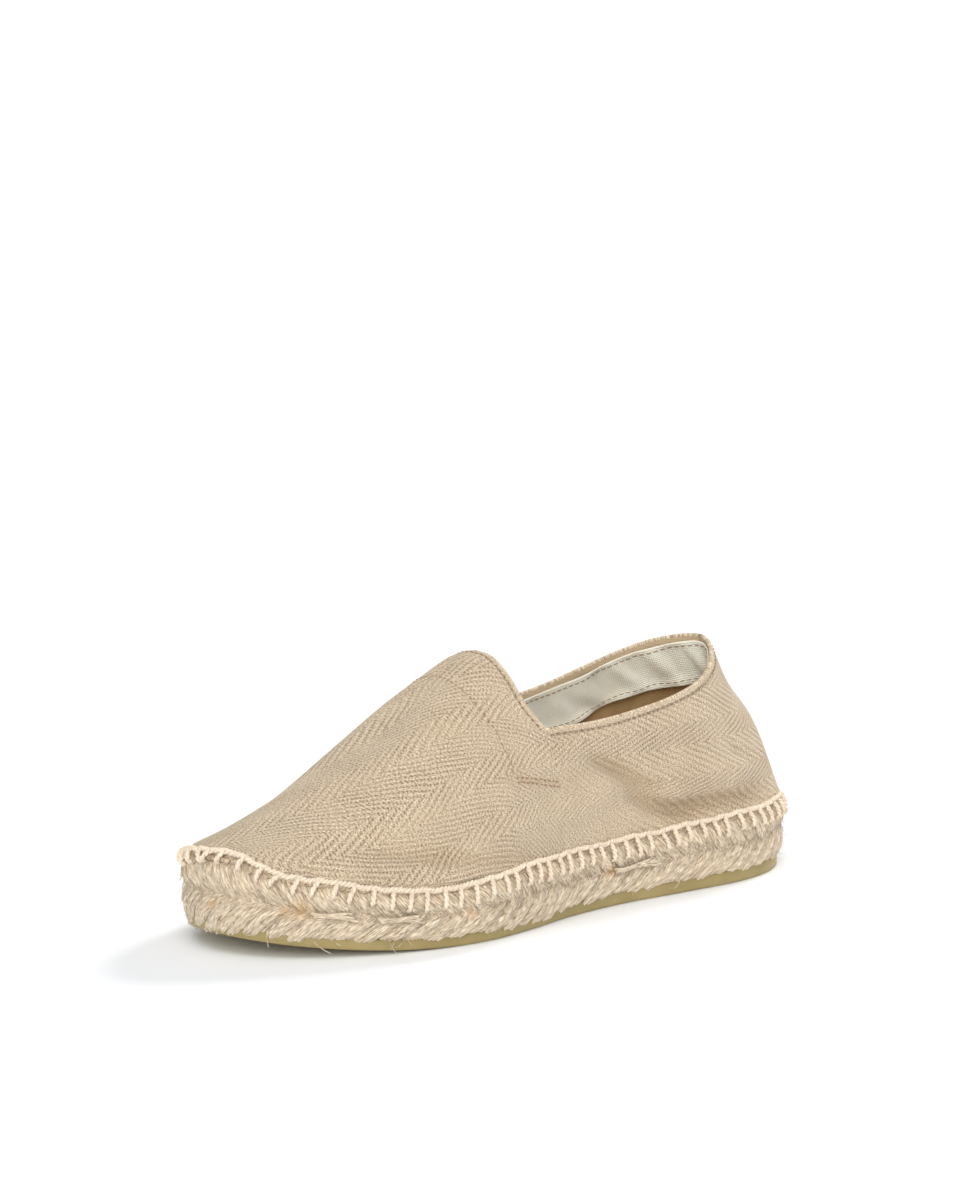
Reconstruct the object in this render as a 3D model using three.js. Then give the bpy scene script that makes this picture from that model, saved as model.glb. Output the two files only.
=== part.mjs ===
// A left espadrille: a flat rubber outsole, a braided jute midsole, an insole and a canvas upper.
// Units are millimetres. +X runs from heel to toe, +Y to the wearer's left (the outer side), +Z up.
// The origin is on the floor, under the middle of the shoe's bounding box.
import * as THREE from "three";

// Outline of the rubber outsole
const LENGTH = 258;
const HEEL_WIDTH = 65.5;
const WAIST_WIDTH = 59;
const BALL_WIDTH = 91;
const TOE_DRIFT = 5; // how far the toe's tip lies towards the inner side
const TOE_SPRING = 7;
const SPRING_FROM = 0.7; // share of the length where the sole starts to rise

// Sole stack
const RUBBER_HEEL = 5.2;
const RUBBER_TOE = 3.6;
const RUBBER_CHAMFER = 0.9;
const SOLE_HEIGHT = 26; // floor to the jute's top edge at the heel
const JUTE_OVERHANG = 1.7; // the jute's fullest line beyond the rubber
const STRAND_PITCH = 8.6;
const STRAND_DEPTH = 1.1;
const STRAND_LEAN = 7.5; // how far the braid's strands run sideways in half its height
const INSOLE_THICKNESS = 2;
const INSOLE_CLEARANCE_HEEL = 3.4; // beside the upper's wall
const INSOLE_CLEARANCE_TOE = 6.5;

// Upper: its sizes are those of the wall's inner face
const WALL = 1.6;
const UPPER_INSET = 1.5; // how far the face's lower edge lies inside the rubber's outline
const EDGE_BAND = 2; // upright strip of canvas above the seam
const COLLAR_WIDTH = 57;
const COLLAR_BACK = 32.5; // from the rubber's back edge to the collar's back
const BACK_HEIGHT = 86.5;
const THROAT = 134.8; // from the rubber's back edge to the throat's corners
const THROAT_WIDTH = 54;
const THROAT_HEIGHT = 65.8;
const THROAT_RISE = 8; // how far the throat's middle lies ahead of its corners
const THROAT_SQUARE = 3; // how square the throat is seen from above: 2 is a parabola
const INSTEP_HEIGHT = 90.6;

const GAP = 0.3; // clearance between pieces that rest on each other

// The outline: share of the length, the width that the row follows, and its outer and inner shares
const OUTLINE = [
  { at: 0.03, of: HEEL_WIDTH, outer: 0.27, inner: 0.276 },
  { at: 0.08, of: HEEL_WIDTH, outer: 0.417, inner: 0.414 },
  { at: 0.16, of: HEEL_WIDTH, outer: 0.506, inner: 0.494 },
  { at: 0.28, of: HEEL_WIDTH, outer: 0.513, inner: 0.464 },
  { at: 0.4, of: WAIST_WIDTH, outer: 0.563, inner: 0.43 },
  { at: 0.5, of: WAIST_WIDTH, outer: 0.617, inner: 0.43 },
  { at: 0.6, of: BALL_WIDTH, outer: 0.471, inner: 0.353 },
  { at: 0.68, of: BALL_WIDTH, outer: 0.508, inner: 0.438 },
  { at: 0.76, of: BALL_WIDTH, outer: 0.49, inner: 0.488 },
  { at: 0.84, of: BALL_WIDTH, outer: 0.428, inner: 0.472 },
  { at: 0.91, of: BALL_WIDTH, outer: 0.33, inner: 0.4 },
  { at: 0.96, of: BALL_WIDTH, outer: 0.22, inner: 0.315 },
  { at: 0.988, of: BALL_WIDTH, outer: 0.09, inner: 0.205 },
];

// The jute's top edge above the underside: share of the length, share of SOLE_HEIGHT
const SOLE_EDGE = [
  { at: 0, height: 1 },
  { at: 0.2, height: 0.945 },
  { at: 0.4, height: 0.86 },
  { at: 0.6, height: 0.845 },
  { at: 0.8, height: 0.78 },
  { at: 0.92, height: 0.84 },
  { at: 1, height: 0.93 },
];

// The jute's side: share of its height, outward share of JUTE_OVERHANG, share of the strands' relief
const JUTE_SIDE = [
  { up: 0, out: -0.9, relief: 0 },
  { up: 0.1, out: 0.3, relief: 0.6 },
  { up: 0.3, out: 1, relief: 1 },
  { up: 0.5, out: 0.65, relief: 0.6 },
  { up: 0.7, out: 1, relief: 1 },
  { up: 0.9, out: 0.6, relief: 0.5 },
  { up: 1, out: -0.6, relief: 0 },
];

// Half a section of the vamp from the sole's edge to the ridge, at the throat and at the ball:
// shares of the half width and of the height above the edge band. Row CORNER_ROW is the throat's corner.
const CORNER_ROW = 4;
const SECTIONS = [
  { throatOut: 1, throatUp: 0, ballOut: 1, ballUp: 0 },
  { throatOut: 0.99, throatUp: 0.14, ballOut: 0.93, ballUp: 0.15 },
  { throatOut: 0.95, throatUp: 0.3, ballOut: 0.83, ballUp: 0.31 },
  { throatOut: 0.88, throatUp: 0.45, ballOut: 0.71, ballUp: 0.475 },
  { throatOut: 0.77, throatUp: 0.59, ballOut: 0.58, ballUp: 0.63 },
  { throatOut: 0.625, throatUp: 0.71, ballOut: 0.44, ballUp: 0.775 },
  { throatOut: 0.44, throatUp: 0.87, ballOut: 0.3, ballUp: 0.89 },
  { throatOut: 0.22, throatUp: 0.975, ballOut: 0.155, ballUp: 0.97 },
  { throatOut: 0, throatUp: 1, ballOut: 0, ballUp: 1 },
];

// The vamp's ridge from the throat (0) to the toe (1): share of the height between its two ends
const RIDGE = [
  { at: 0, height: 1 },
  { at: 0.05, height: 0.98 },
  { at: 0.15, height: 0.87 },
  { at: 0.42, height: 0.525 },
  { at: 0.69, height: 0.265 },
  { at: 0.88, height: 0.095 },
  { at: 0.96, height: 0.03 },
  { at: 1, height: 0 },
];

// The collar from the throat's corner (0) to its back (1): shares of COLLAR_WIDTH and of its rise
const COLLAR = [
  { at: 0.22, outer: 0.5, outerRise: 0.03, inner: 0.5, innerRise: 0.02 },
  { at: 0.44, outer: 0.485, outerRise: 0.13, inner: 0.49, innerRise: 0.18 },
  { at: 0.64, outer: 0.44, outerRise: 0.26, inner: 0.455, innerRise: 0.44 },
  { at: 0.8, outer: 0.36, outerRise: 0.43, inner: 0.395, innerRise: 0.69 },
  { at: 0.92, outer: 0.235, outerRise: 0.7, inner: 0.265, innerRise: 0.91 },
];

// How far the quarter stands out from a straight wall, in shares of WALL, at the side and at the heel
const QUARTER_BULGE = [
  { side: 0, heel: 0 },
  { side: 0.9, heel: 1.4 },
  { side: 1.5, heel: 1.5 },
  { side: 1.2, heel: 0.2 },
  { side: 0, heel: 0 },
];

// Where the forms blend, in shares of the vamp's or the quarter's length from the throat
const BALL_FROM = 0.5; // from here to the toe the vamp has the ball's section
const TOE_DRIFT_FROM = 0.2; // from here the ridge bends towards the toe's tip
const THROAT_FADE = 0.25; // up to here the quarter takes up the throat's own curve
const HEEL_FROM = 0.45; // from here the quarter takes up the heel's curve

// Mesh density
const OUTLINE_FINE = 720;
const RUBBER_POINTS = 140;
const INSOLE_POINTS = 100;
const POINTS_PER_STRAND = 4;
const ROWS_PER_STEP = 2; // rows between two rows of SECTIONS
const VAMP_STATIONS = 22;
const QUARTER_STATIONS = 22; // on each side, from the throat to the heel's back

// A smooth curve through values at increasing knots: a function of the knot's parameter
function smoothThrough(knots, values) {
  const last = knots.length - 1;
  const slope = (i) => (values[i + 1] - values[i]) / (knots[i + 1] - knots[i]);
  const tangent = values.map((_, i) => {
    if (i === 0) return slope(0);
    if (i === last) return slope(last - 1);
    const before = knots[i] - knots[i - 1];
    const after = knots[i + 1] - knots[i];
    return (slope(i - 1) * after + slope(i) * before) / (before + after);
  });
  return (u) => {
    let i = knots.findIndex((k) => k > u) - 1;
    if (i < 0) i = u <= knots[0] ? 0 : last - 1;
    const step = knots[i + 1] - knots[i];
    const t = THREE.MathUtils.clamp((u - knots[i]) / step, 0, 1);
    const t2 = t * t;
    const t3 = t2 * t;
    return (
      (2 * t3 - 3 * t2 + 1) * values[i] +
      (t3 - 2 * t2 + t) * step * tangent[i] +
      (3 * t2 - 2 * t3) * values[i + 1] +
      (t3 - t2) * step * tangent[i + 1]
    );
  };
}

// Knots for a curve through points, spaced by the square roots of their distances
function knotsOf(points) {
  const knots = [0];
  for (let i = 1; i < points.length; i++) {
    knots.push(knots[i - 1] + Math.sqrt(points[i].distanceTo(points[i - 1])));
  }
  return knots;
}

// A table's column as a smooth function of its "at" column, or of the row's share of the table
function column(table, name) {
  const knots = table.map((row, i) => row.at ?? i / (table.length - 1));
  return smoothThrough(knots, table.map((row) => row[name]));
}

// Points along a polyline at the given shares of its length
function atShares(points, shares) {
  const run = [0];
  for (let i = 1; i < points.length; i++) {
    run.push(run[i - 1] + points[i].distanceTo(points[i - 1]));
  }
  return shares.map((share) => {
    const goal = share * run.at(-1);
    const i = Math.max(1, run.findIndex((r) => r >= goal));
    return points[i - 1].clone().lerp(points[i], (goal - run[i - 1]) / (run[i] - run[i - 1]));
  });
}

const even = (count) => Array.from({ length: count + 1 }, (_, i) => i / count);

// The outline as a closed loop of fine points, from the heel's back along the outer side
function fineOutline() {
  const side = (sign, key) => OUTLINE.map((row) => new THREE.Vector2(row.at * LENGTH, sign * row[key] * row.of));
  const heel = new THREE.Vector2(0, 0);
  const toe = new THREE.Vector2(LENGTH, -TOE_DRIFT);
  const outer = side(1, "outer");
  const inner = side(-1, "inner").reverse();
  const loop = [heel, ...outer, toe, ...inner];
  // The loop is repeated at both ends, so that the curve closes smoothly
  const padded = [...loop.slice(-2), ...loop, ...loop.slice(0, 3)];
  const knots = knotsOf(padded);
  const x = smoothThrough(knots, padded.map((p) => p.x));
  const y = smoothThrough(knots, padded.map((p) => p.y));
  const toeKnot = knots[2 + outer.length + 1];
  const heelKnots = [knots[2], knots[2 + loop.length]];
  const half = OUTLINE_FINE / 2;
  return even(OUTLINE_FINE).slice(0, -1).map((_, i) => {
    const u =
      i < half
        ? THREE.MathUtils.lerp(heelKnots[0], toeKnot, i / half)
        : THREE.MathUtils.lerp(toeKnot, heelKnots[1], (i - half) / half);
    return new THREE.Vector2(x(u), y(u));
  });
}

const RUBBER_OUTLINE = fineOutline();

// The outline moved outwards by a distance, or by a function of the share of the length
function outlineAt(outward) {
  const count = RUBBER_OUTLINE.length;
  return RUBBER_OUTLINE.map((p, i) => {
    const before = RUBBER_OUTLINE[(i + count - 1) % count];
    const after = RUBBER_OUTLINE[(i + 1) % count];
    const along = after.clone().sub(before).normalize();
    const by = typeof outward === "function" ? outward(p.x / LENGTH) : outward;
    return new THREE.Vector2(p.x + along.y * -by, p.y + along.x * by);
  });
}

// The two halves of an outline, both from heel to toe
function halves(outline) {
  const half = outline.length / 2;
  const outer = outline.slice(0, half + 1);
  const inner = [outline[0], ...outline.slice(half).reverse()];
  return { outer, inner };
}

// An outline resampled to an even number of points, so that point i faces point count - i
function resample(outline, count) {
  const { outer, inner } = halves(outline);
  const shares = even(count / 2);
  const a = atShares(outer, shares);
  const b = atShares(inner, shares);
  return [...a, ...b.slice(1, -1).reverse()];
}

const springAt = (x) => {
  const t = THREE.MathUtils.clamp((x / LENGTH - SPRING_FROM) / (1 - SPRING_FROM), 0, 1.05);
  return TOE_SPRING * t * t;
};
const shareOf = (x) => THREE.MathUtils.clamp(x / LENGTH, 0, 1);
const soleEdge = column(SOLE_EDGE, "height");
const edgeAt = (x) => springAt(x) + SOLE_HEIGHT * soleEdge(shareOf(x));
const rubberTopAt = (x) => springAt(x) + THREE.MathUtils.lerp(RUBBER_HEEL, RUBBER_TOE, shareOf(x));

// A mesh from vertices and triangles
function meshOf(name, vertices, triangles, material) {
  const geometry = new THREE.BufferGeometry();
  geometry.setAttribute("position", new THREE.Float32BufferAttribute(vertices.flatMap((v) => [v.x, v.y, v.z]), 3));
  geometry.setIndex(triangles.flat());
  geometry.computeVertexNormals();
  const mesh = new THREE.Mesh(geometry, material);
  mesh.name = name;
  return mesh;
}

const quad = (a, b, c, d) => [
  [a, b, c],
  [a, c, d],
];

// A slab from rings of equal length, lowest first, closed below and above by strips across the shoe
function slab(name, rings, material) {
  const count = rings[0].length;
  const vertices = rings.flat();
  const triangles = [];
  for (let r = 0; r + 1 < rings.length; r++) {
    for (let i = 0; i < count; i++) {
      const j = (i + 1) % count;
      const low = r * count;
      const high = low + count;
      triangles.push(...quad(low + j, low + i, high + i, high + j));
    }
  }
  const cap = (base, up) => {
    for (let i = 0; i < count / 2; i++) {
      const ring = [i, i + 1, count - i - 1, (count - i) % count].map((k) => base + k);
      const corners = ring.filter((k, n) => ring.indexOf(k) === n);
      const faces = corners.length === 3 ? [corners] : quad(...corners);
      triangles.push(...faces.map((f) => (up ? [...f].reverse() : f)));
    }
  };
  cap(0, false);
  cap((rings.length - 1) * count, true);
  return meshOf(name, vertices, triangles, material);
}

const lifted = (points, heightAt) => points.map((p) => new THREE.Vector3(p.x, p.y, heightAt(p.x)));

function outsole(material) {
  const foot = resample(outlineAt(-RUBBER_CHAMFER), RUBBER_POINTS);
  const edge = resample(outlineAt(0), RUBBER_POINTS);
  return slab(
    "outsole",
    [
      lifted(foot, springAt),
      lifted(edge, (x) => springAt(x) + RUBBER_CHAMFER),
      lifted(edge, rubberTopAt),
    ],
    material,
  );
}

// The jute's side carries one coil of braid: its strands run up to mid height and fold back
function midsole(material) {
  const outline = outlineAt(JUTE_OVERHANG);
  const loop = [...outline, outline[0]];
  const around = loop.slice(1).reduce((sum, p, i) => sum + p.distanceTo(loop[i]), 0);
  const strands = 2 * Math.round(around / STRAND_PITCH / 2);
  const count = strands * POINTS_PER_STRAND;
  const rings = JUTE_SIDE.map(({ up, out, relief }) => {
    const lean = (STRAND_LEAN * (1 - Math.abs(2 * up - 1))) / around;
    const fullest = (out - 1) * JUTE_OVERHANG;
    const shares = even(count).slice(0, -1).map((share) => (share - lean + 1) % 1);
    const points = atShares(loop, shares);
    const next = atShares(loop, shares.map((share) => (share + 1 / count) % 1));
    return points.map((p, i) => {
      const along = next[i].clone().sub(p).normalize();
      const strand = 0.5 - 0.5 * Math.cos((2 * Math.PI * i) / POINTS_PER_STRAND);
      const by = fullest + relief * STRAND_DEPTH * (strand - 1);
      const x = p.x - along.y * by;
      const y = p.y + along.x * by;
      const low = rubberTopAt(x) + GAP;
      return new THREE.Vector3(x, y, THREE.MathUtils.lerp(low, edgeAt(x), up));
    });
  });
  return slab("midsole", rings, material);
}

function insole(material) {
  const clearance = (share) => THREE.MathUtils.lerp(INSOLE_CLEARANCE_HEEL, INSOLE_CLEARANCE_TOE, share);
  const outline = resample(outlineAt((share) => -UPPER_INSET - clearance(share)), INSOLE_POINTS);
  const under = (x) => edgeAt(x) + GAP;
  return slab("insole", [lifted(outline, under), lifted(outline, (x) => under(x) + INSOLE_THICKNESS)], material);
}

// The upper's lower edge: its height, and the outline that it follows
const CANVAS_OUTLINE = outlineAt(-UPPER_INSET);
const CANVAS_SIDES = halves(CANVAS_OUTLINE);
const TOE_X = CANVAS_OUTLINE[OUTLINE_FINE / 2].x;
const footAt = (x) => edgeAt(x) + GAP;
const bandTopAt = (x) => footAt(x) + EDGE_BAND;

// The canvas outline's Y at a distance along the shoe, on one side ahead of the heel
function sideY(half, x) {
  const i = half.findIndex((p, k) => k > half.length / 4 && p.x >= x);
  if (i < 1) return half.at(-1).y;
  const a = half[i - 1];
  const b = half[i];
  return THREE.MathUtils.lerp(a.y, b.y, (x - a.x) / (b.x - a.x));
}

const throatOut = column(SECTIONS, "throatOut");
const throatUp = column(SECTIONS, "throatUp");
const ballOut = column(SECTIONS, "ballOut");
const ballUp = column(SECTIONS, "ballUp");
const ridgeHeight = column(RIDGE, "height");
const bulgeAtSide = column(QUARTER_BULGE, "side");
const bulgeAtHeel = column(QUARTER_BULGE, "heel");

const HALF_ROWS = (SECTIONS.length - 1) * ROWS_PER_STEP;
const CORNER = CORNER_ROW * ROWS_PER_STEP;
const CORNER_SHARE = CORNER / HALF_ROWS;

// The vamp's ridge over a section: its place and height, q being 0 at the throat and 1 at the toe
function ridgeOver(q, x) {
  const ridgeX = x + THROAT_RISE * (1 - q) ** 3;
  const share = (ridgeX - THROAT - THROAT_RISE) / (TOE_X - THROAT - THROAT_RISE);
  const z = THREE.MathUtils.lerp(bandTopAt(TOE_X), INSTEP_HEIGHT, ridgeHeight(share));
  return new THREE.Vector3(ridgeX, -TOE_DRIFT * THREE.MathUtils.smoothstep(q, TOE_DRIFT_FROM, 1), z);
}

// One side of a section across the vamp, from the sole's edge to the ridge
function vampSide(q, x, half) {
  const ridge = ridgeOver(q, x);
  const foot = new THREE.Vector3(x, sideY(half, x), footAt(x));
  const band = bandTopAt(x);
  const towardsBall = THREE.MathUtils.smoothstep(q, 0, BALL_FROM);
  const cornerUp = throatUp(CORNER_SHARE);
  const cornerOut = throatOut(CORNER_SHARE);
  const cornerY = THREE.MathUtils.lerp(ridge.y, foot.y, cornerOut);
  const cornerZ = THREE.MathUtils.lerp(band, ridge.z, cornerUp);
  const wantedY = (Math.sign(foot.y) * THROAT_WIDTH) / 2;
  const line = [foot];
  for (let r = 0; r <= HALF_ROWS; r++) {
    const share = r / HALF_ROWS;
    const up = THREE.MathUtils.lerp(throatUp(share), ballUp(share), towardsBall);
    const out = THREE.MathUtils.lerp(throatOut(share), ballOut(share), towardsBall);
    // Near the throat the section is drawn in or out, so that its corner keeps the throat's own size
    const near = Math.min(share / CORNER_SHARE, (1 - share) / (1 - CORNER_SHARE));
    const pull = THREE.MathUtils.smoothstep(near, 0, 1) * (1 - towardsBall);
    // Between the throat's corners the section lies further forward
    const ahead = Math.max(0, 1 - (throatOut(share) / cornerOut) ** THROAT_SQUARE);
    line.push(
      new THREE.Vector3(
        THREE.MathUtils.lerp(x, ridge.x, ahead),
        THREE.MathUtils.lerp(ridge.y, foot.y, out) + (wantedY - cornerY) * pull,
        THREE.MathUtils.lerp(band, ridge.z, up) + (THROAT_HEIGHT - cornerZ) * pull,
      ),
    );
  }
  return line;
}

// A whole section across the vamp, from the outer edge over the ridge to the inner edge
function vampSection(q) {
  const x = THREE.MathUtils.lerp(THROAT, TOE_X, Math.sin((q * Math.PI) / 2));
  const outer = vampSide(q, x, CANVAS_SIDES.outer);
  const inner = vampSide(q, x, CANVAS_SIDES.inner);
  return [...outer, ...inner.slice(0, -1).reverse()];
}

// The collar's edge on one side, from the throat's corner to the last row before the back
function collarSide(sign, out, rise) {
  const corner = new THREE.Vector3(THROAT, (sign * THROAT_WIDTH) / 2, THROAT_HEIGHT);
  const rows = COLLAR.map(
    (row) =>
      new THREE.Vector3(
        THREE.MathUtils.lerp(THROAT, COLLAR_BACK, row.at),
        sign * row[out] * COLLAR_WIDTH,
        THREE.MathUtils.lerp(THROAT_HEIGHT, BACK_HEIGHT, row[rise]),
      ),
  );
  return [corner, ...rows];
}

// The collar as one smooth curve, given as its two sides, each from the throat's corner to the back
function collarCurves() {
  const outer = collarSide(1, "outer", "outerRise");
  const inner = collarSide(-1, "inner", "innerRise");
  const all = [...outer, new THREE.Vector3(COLLAR_BACK, 0, BACK_HEIGHT), ...inner.reverse()];
  const knots = knotsOf(all);
  const [x, y, z] = ["x", "y", "z"].map((axis) => smoothThrough(knots, all.map((p) => p[axis])));
  const curve = (from, to) =>
    even(OUTLINE_FINE / 4).map((t) => {
      const u = THREE.MathUtils.lerp(from, to, t);
      return new THREE.Vector3(x(u), y(u), z(u));
    });
  const back = knots[outer.length];
  return { outer: curve(0, back), inner: curve(knots.at(-1), back) };
}

// The quarter's ribs on one side, from the throat's own section to the heel's back
function quarterSide(half, collar, throat, sign) {
  const shares = even(QUARTER_STATIONS);
  const footLine = [new THREE.Vector2(throat[0].x, throat[0].y), ...half.filter((p) => p.x < THROAT).reverse()];
  const feet = atShares(footLine, shares);
  const tops = atShares(collar, shares);
  return shares.map((share, k) => {
    const towardsHeel = THREE.MathUtils.smoothstep(share, HEEL_FROM, 1);
    const fromThroat = THREE.MathUtils.smoothstep(share, 0, THROAT_FADE);
    const foot = new THREE.Vector3(feet[k].x, feet[k].y, footAt(feet[k].x));
    const before = feet[Math.max(0, k - 1)];
    const along = feet[Math.min(QUARTER_STATIONS, k + 1)].clone().sub(before).normalize();
    const outward = new THREE.Vector3(sign * along.y, -sign * along.x, 0);
    const band = foot.clone().setZ(bandTopAt(foot.x));
    const rib = [foot];
    for (let r = 0; r <= CORNER; r++) {
      const up = throatUp(r / HALF_ROWS) / throatUp(CORNER_SHARE);
      const chord = THREE.MathUtils.lerp(throat[1].y, throat[CORNER + 1].y, up);
      const throatBulge = Math.abs(throat[r + 1].y) - Math.abs(chord);
      const ownBulge = WALL * THREE.MathUtils.lerp(bulgeAtSide(r / CORNER), bulgeAtHeel(r / CORNER), towardsHeel);
      const bulge = THREE.MathUtils.lerp(throatBulge, ownBulge, fromThroat);
      rib.push(band.clone().lerp(tops[k], up).addScaledVector(outward, bulge));
    }
    return rib;
  });
}

// The quarter's ribs from the throat's outer corner round the heel to its inner corner
function quarterRibs(throatSection) {
  const collar = collarCurves();
  const outer = quarterSide(CANVAS_SIDES.outer, collar.outer, throatSection, 1);
  const inner = quarterSide(CANVAS_SIDES.inner, collar.inner, [...throatSection].reverse(), -1);
  return [...outer, ...inner.slice(0, -1).reverse()];
}

// The canvas: a sheet of the wall's inner points and faces, then given its wall. The quarter's first and
// last ribs are the throat's own section, so that the two grids share them.
function upper(material) {
  const vertices = [];
  const add = (p) => vertices.push(p) - 1;
  const sections = even(VAMP_STATIONS).map(vampSection);
  const tip = sections.pop();
  const tipFoot = add(tip[0]);
  const tipTop = add(tip[1]);
  const vamp = sections.map((section) => section.map(add));
  vamp.push(tip.map((_, r) => (r === 0 || r === tip.length - 1 ? tipFoot : tipTop)));
  const ribs = quarterRibs(sections[0]).slice(1, -1).map((rib) => rib.map(add));
  const firstRib = vamp[0].slice(0, CORNER + 2);
  const lastRib = vamp[0].slice(-(CORNER + 2)).reverse();
  const quarter = [firstRib, ...ribs, lastRib].reverse();
  const faces = [...gridFaces(vamp), ...gridFaces(quarter)];
  const feet = new Set([...vamp.flatMap((line) => [line[0], line.at(-1)]), ...quarter.map((rib) => rib[0])]);
  return walled("upper", vertices, faces, feet, material);
}

// The faces between neighbouring lines of a grid, without those that its shared points flatten
function gridFaces(lines) {
  const faces = [];
  for (let s = 0; s + 1 < lines.length; s++) {
    for (let r = 0; r + 1 < lines[s].length; r++) {
      faces.push(...quad(lines[s][r], lines[s][r + 1], lines[s + 1][r + 1], lines[s + 1][r]));
    }
  }
  return faces.filter(([a, b, c]) => a !== b && b !== c && c !== a);
}

// A sheet's wall: each point is doubled outwards, and the sheet's open edges are closed between the two
function walled(name, vertices, faces, feet, material) {
  const sheet = meshOf(name, vertices, faces, material);
  const normals = sheet.geometry.getAttribute("normal");
  const outside = vertices.map((p, i) => {
    const n = new THREE.Vector3().fromBufferAttribute(normals, i);
    const way = feet.has(i) ? n.setZ(0).normalize() : n;
    return p.clone().addScaledVector(way, WALL);
  });
  const count = vertices.length;
  const edges = new Map();
  for (const face of faces) {
    face.forEach((a, i) => edges.set(`${a},${face[(i + 1) % 3]}`, [a, face[(i + 1) % 3]]));
  }
  const open = [...edges.values()].filter(([a, b]) => !edges.has(`${b},${a}`));
  const triangles = [
    ...faces.map(([a, b, c]) => [a, c, b]),
    ...faces.map((face) => face.map((i) => i + count)),
    ...open.flatMap(([a, b]) => quad(a, b, b + count, a + count)),
  ];
  return meshOf(name, [...vertices, ...outside], triangles, material);
}

function shoe() {
  const canvas = new THREE.MeshStandardMaterial({ color: 0xc9b490, roughness: 0.95, metalness: 0 });
  const jute = new THREE.MeshStandardMaterial({ color: 0xd8c4a0, roughness: 0.9, metalness: 0 });
  const rubber = new THREE.MeshStandardMaterial({ color: 0xa89a62, roughness: 0.55, metalness: 0 });
  const footbed = new THREE.MeshStandardMaterial({ color: 0xd9cdb4, roughness: 0.95, metalness: 0 });
  const group = new THREE.Group();
  group.add(outsole(rubber), midsole(jute), insole(footbed), upper(canvas));
  const box = new THREE.Box3().setFromObject(group);
  const middle = box.getCenter(new THREE.Vector3());
  group.position.set(-middle.x, -middle.y, -box.min.z);
  return group;
}

export default shoe();
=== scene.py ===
"""The looks of a left espadrille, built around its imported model.

Lengths here are millimetres in the shoe's own frame: X runs from the rubber's back edge to its toe,
Y to the outer side of the foot, Z up from the floor. metres() turns them into the frame's metres.
A station is a place on the sole's outline: 0 at the heel's back, HALF at the toe, then back along
the inner side.
"""

import math

import bpy
import numpy as np
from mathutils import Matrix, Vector
from mathutils.bvhtree import BVHTree


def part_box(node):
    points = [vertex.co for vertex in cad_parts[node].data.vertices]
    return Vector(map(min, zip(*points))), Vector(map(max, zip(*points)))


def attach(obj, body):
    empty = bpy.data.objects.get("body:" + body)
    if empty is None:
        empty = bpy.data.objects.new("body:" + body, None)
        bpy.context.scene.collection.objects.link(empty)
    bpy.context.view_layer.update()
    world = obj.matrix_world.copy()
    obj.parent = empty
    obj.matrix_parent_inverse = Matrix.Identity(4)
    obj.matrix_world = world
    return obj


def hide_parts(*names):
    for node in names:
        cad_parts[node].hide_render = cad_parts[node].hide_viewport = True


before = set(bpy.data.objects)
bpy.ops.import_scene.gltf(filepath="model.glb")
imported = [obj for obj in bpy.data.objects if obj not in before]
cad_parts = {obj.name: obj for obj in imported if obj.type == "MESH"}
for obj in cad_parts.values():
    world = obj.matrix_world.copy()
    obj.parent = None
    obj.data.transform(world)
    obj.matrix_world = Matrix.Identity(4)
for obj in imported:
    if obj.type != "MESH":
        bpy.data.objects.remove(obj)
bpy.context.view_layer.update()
MM = 0.001
RANDOM = np.random.default_rng(39)

# Sole
RUBBER_LOW, RUBBER_HIGH = (np.array(corner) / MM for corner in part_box("outsole"))
LENGTH = RUBBER_HIGH[0] - RUBBER_LOW[0]
HEEL_WIDTH = 65.5
WAIST_WIDTH = 59
BALL_WIDTH = 91
TOE_DRIFT = 5
TOE_SPRING = 7
SPRING_FROM = 0.7
RUBBER_HEEL = 5.2
RUBBER_TOE = 3.6
SOLE_HEIGHT = 26
JUTE_OVERHANG = 1.7

# Upper
WALL = 1.6
UPPER_INSET = 1.5
EDGE_BAND = 2
COLLAR_WIDTH = 57
COLLAR_BACK = 32.5
BACK_HEIGHT = 86.5
THROAT = 134.8
THROAT_WIDTH = 54
THROAT_HEIGHT = 65.8
THROAT_RISE = 8
THROAT_SQUARE = 3
INSTEP_HEIGHT = 90.6
GAP = 0.3

# The outline: share of the length, the width that the row follows, and its outer and inner shares
OUTLINE = [
    (0.03, HEEL_WIDTH, 0.27, 0.276),
    (0.08, HEEL_WIDTH, 0.417, 0.414),
    (0.16, HEEL_WIDTH, 0.506, 0.494),
    (0.28, HEEL_WIDTH, 0.513, 0.464),
    (0.4, WAIST_WIDTH, 0.563, 0.43),
    (0.5, WAIST_WIDTH, 0.617, 0.43),
    (0.6, BALL_WIDTH, 0.471, 0.353),
    (0.68, BALL_WIDTH, 0.508, 0.438),
    (0.76, BALL_WIDTH, 0.49, 0.488),
    (0.84, BALL_WIDTH, 0.428, 0.472),
    (0.91, BALL_WIDTH, 0.33, 0.4),
    (0.96, BALL_WIDTH, 0.22, 0.315),
    (0.988, BALL_WIDTH, 0.09, 0.205),
]

# The jute's top edge above the underside: share of the length, share of SOLE_HEIGHT
SOLE_EDGE = [(0, 1), (0.2, 0.945), (0.4, 0.86), (0.6, 0.845), (0.8, 0.78), (0.92, 0.84), (1, 0.93)]

# The jute's side: share of its height, outward share of JUTE_OVERHANG
JUTE_SIDE = [(0, -0.9), (0.1, 0.3), (0.3, 1), (0.5, 0.65), (0.7, 1), (0.9, 0.6), (1, -0.6)]

# The same side as the strands stand on it
STRAND_SIDE = [
    (-0.2, 0.4),
    (0, 0.5),
    (0.12, 0.85),
    (0.3, 1),
    (0.5, 0.65),
    (0.7, 1),
    (0.84, 0.75),
    (0.94, 0.15),
    (1.1, -0.3),
]

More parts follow.
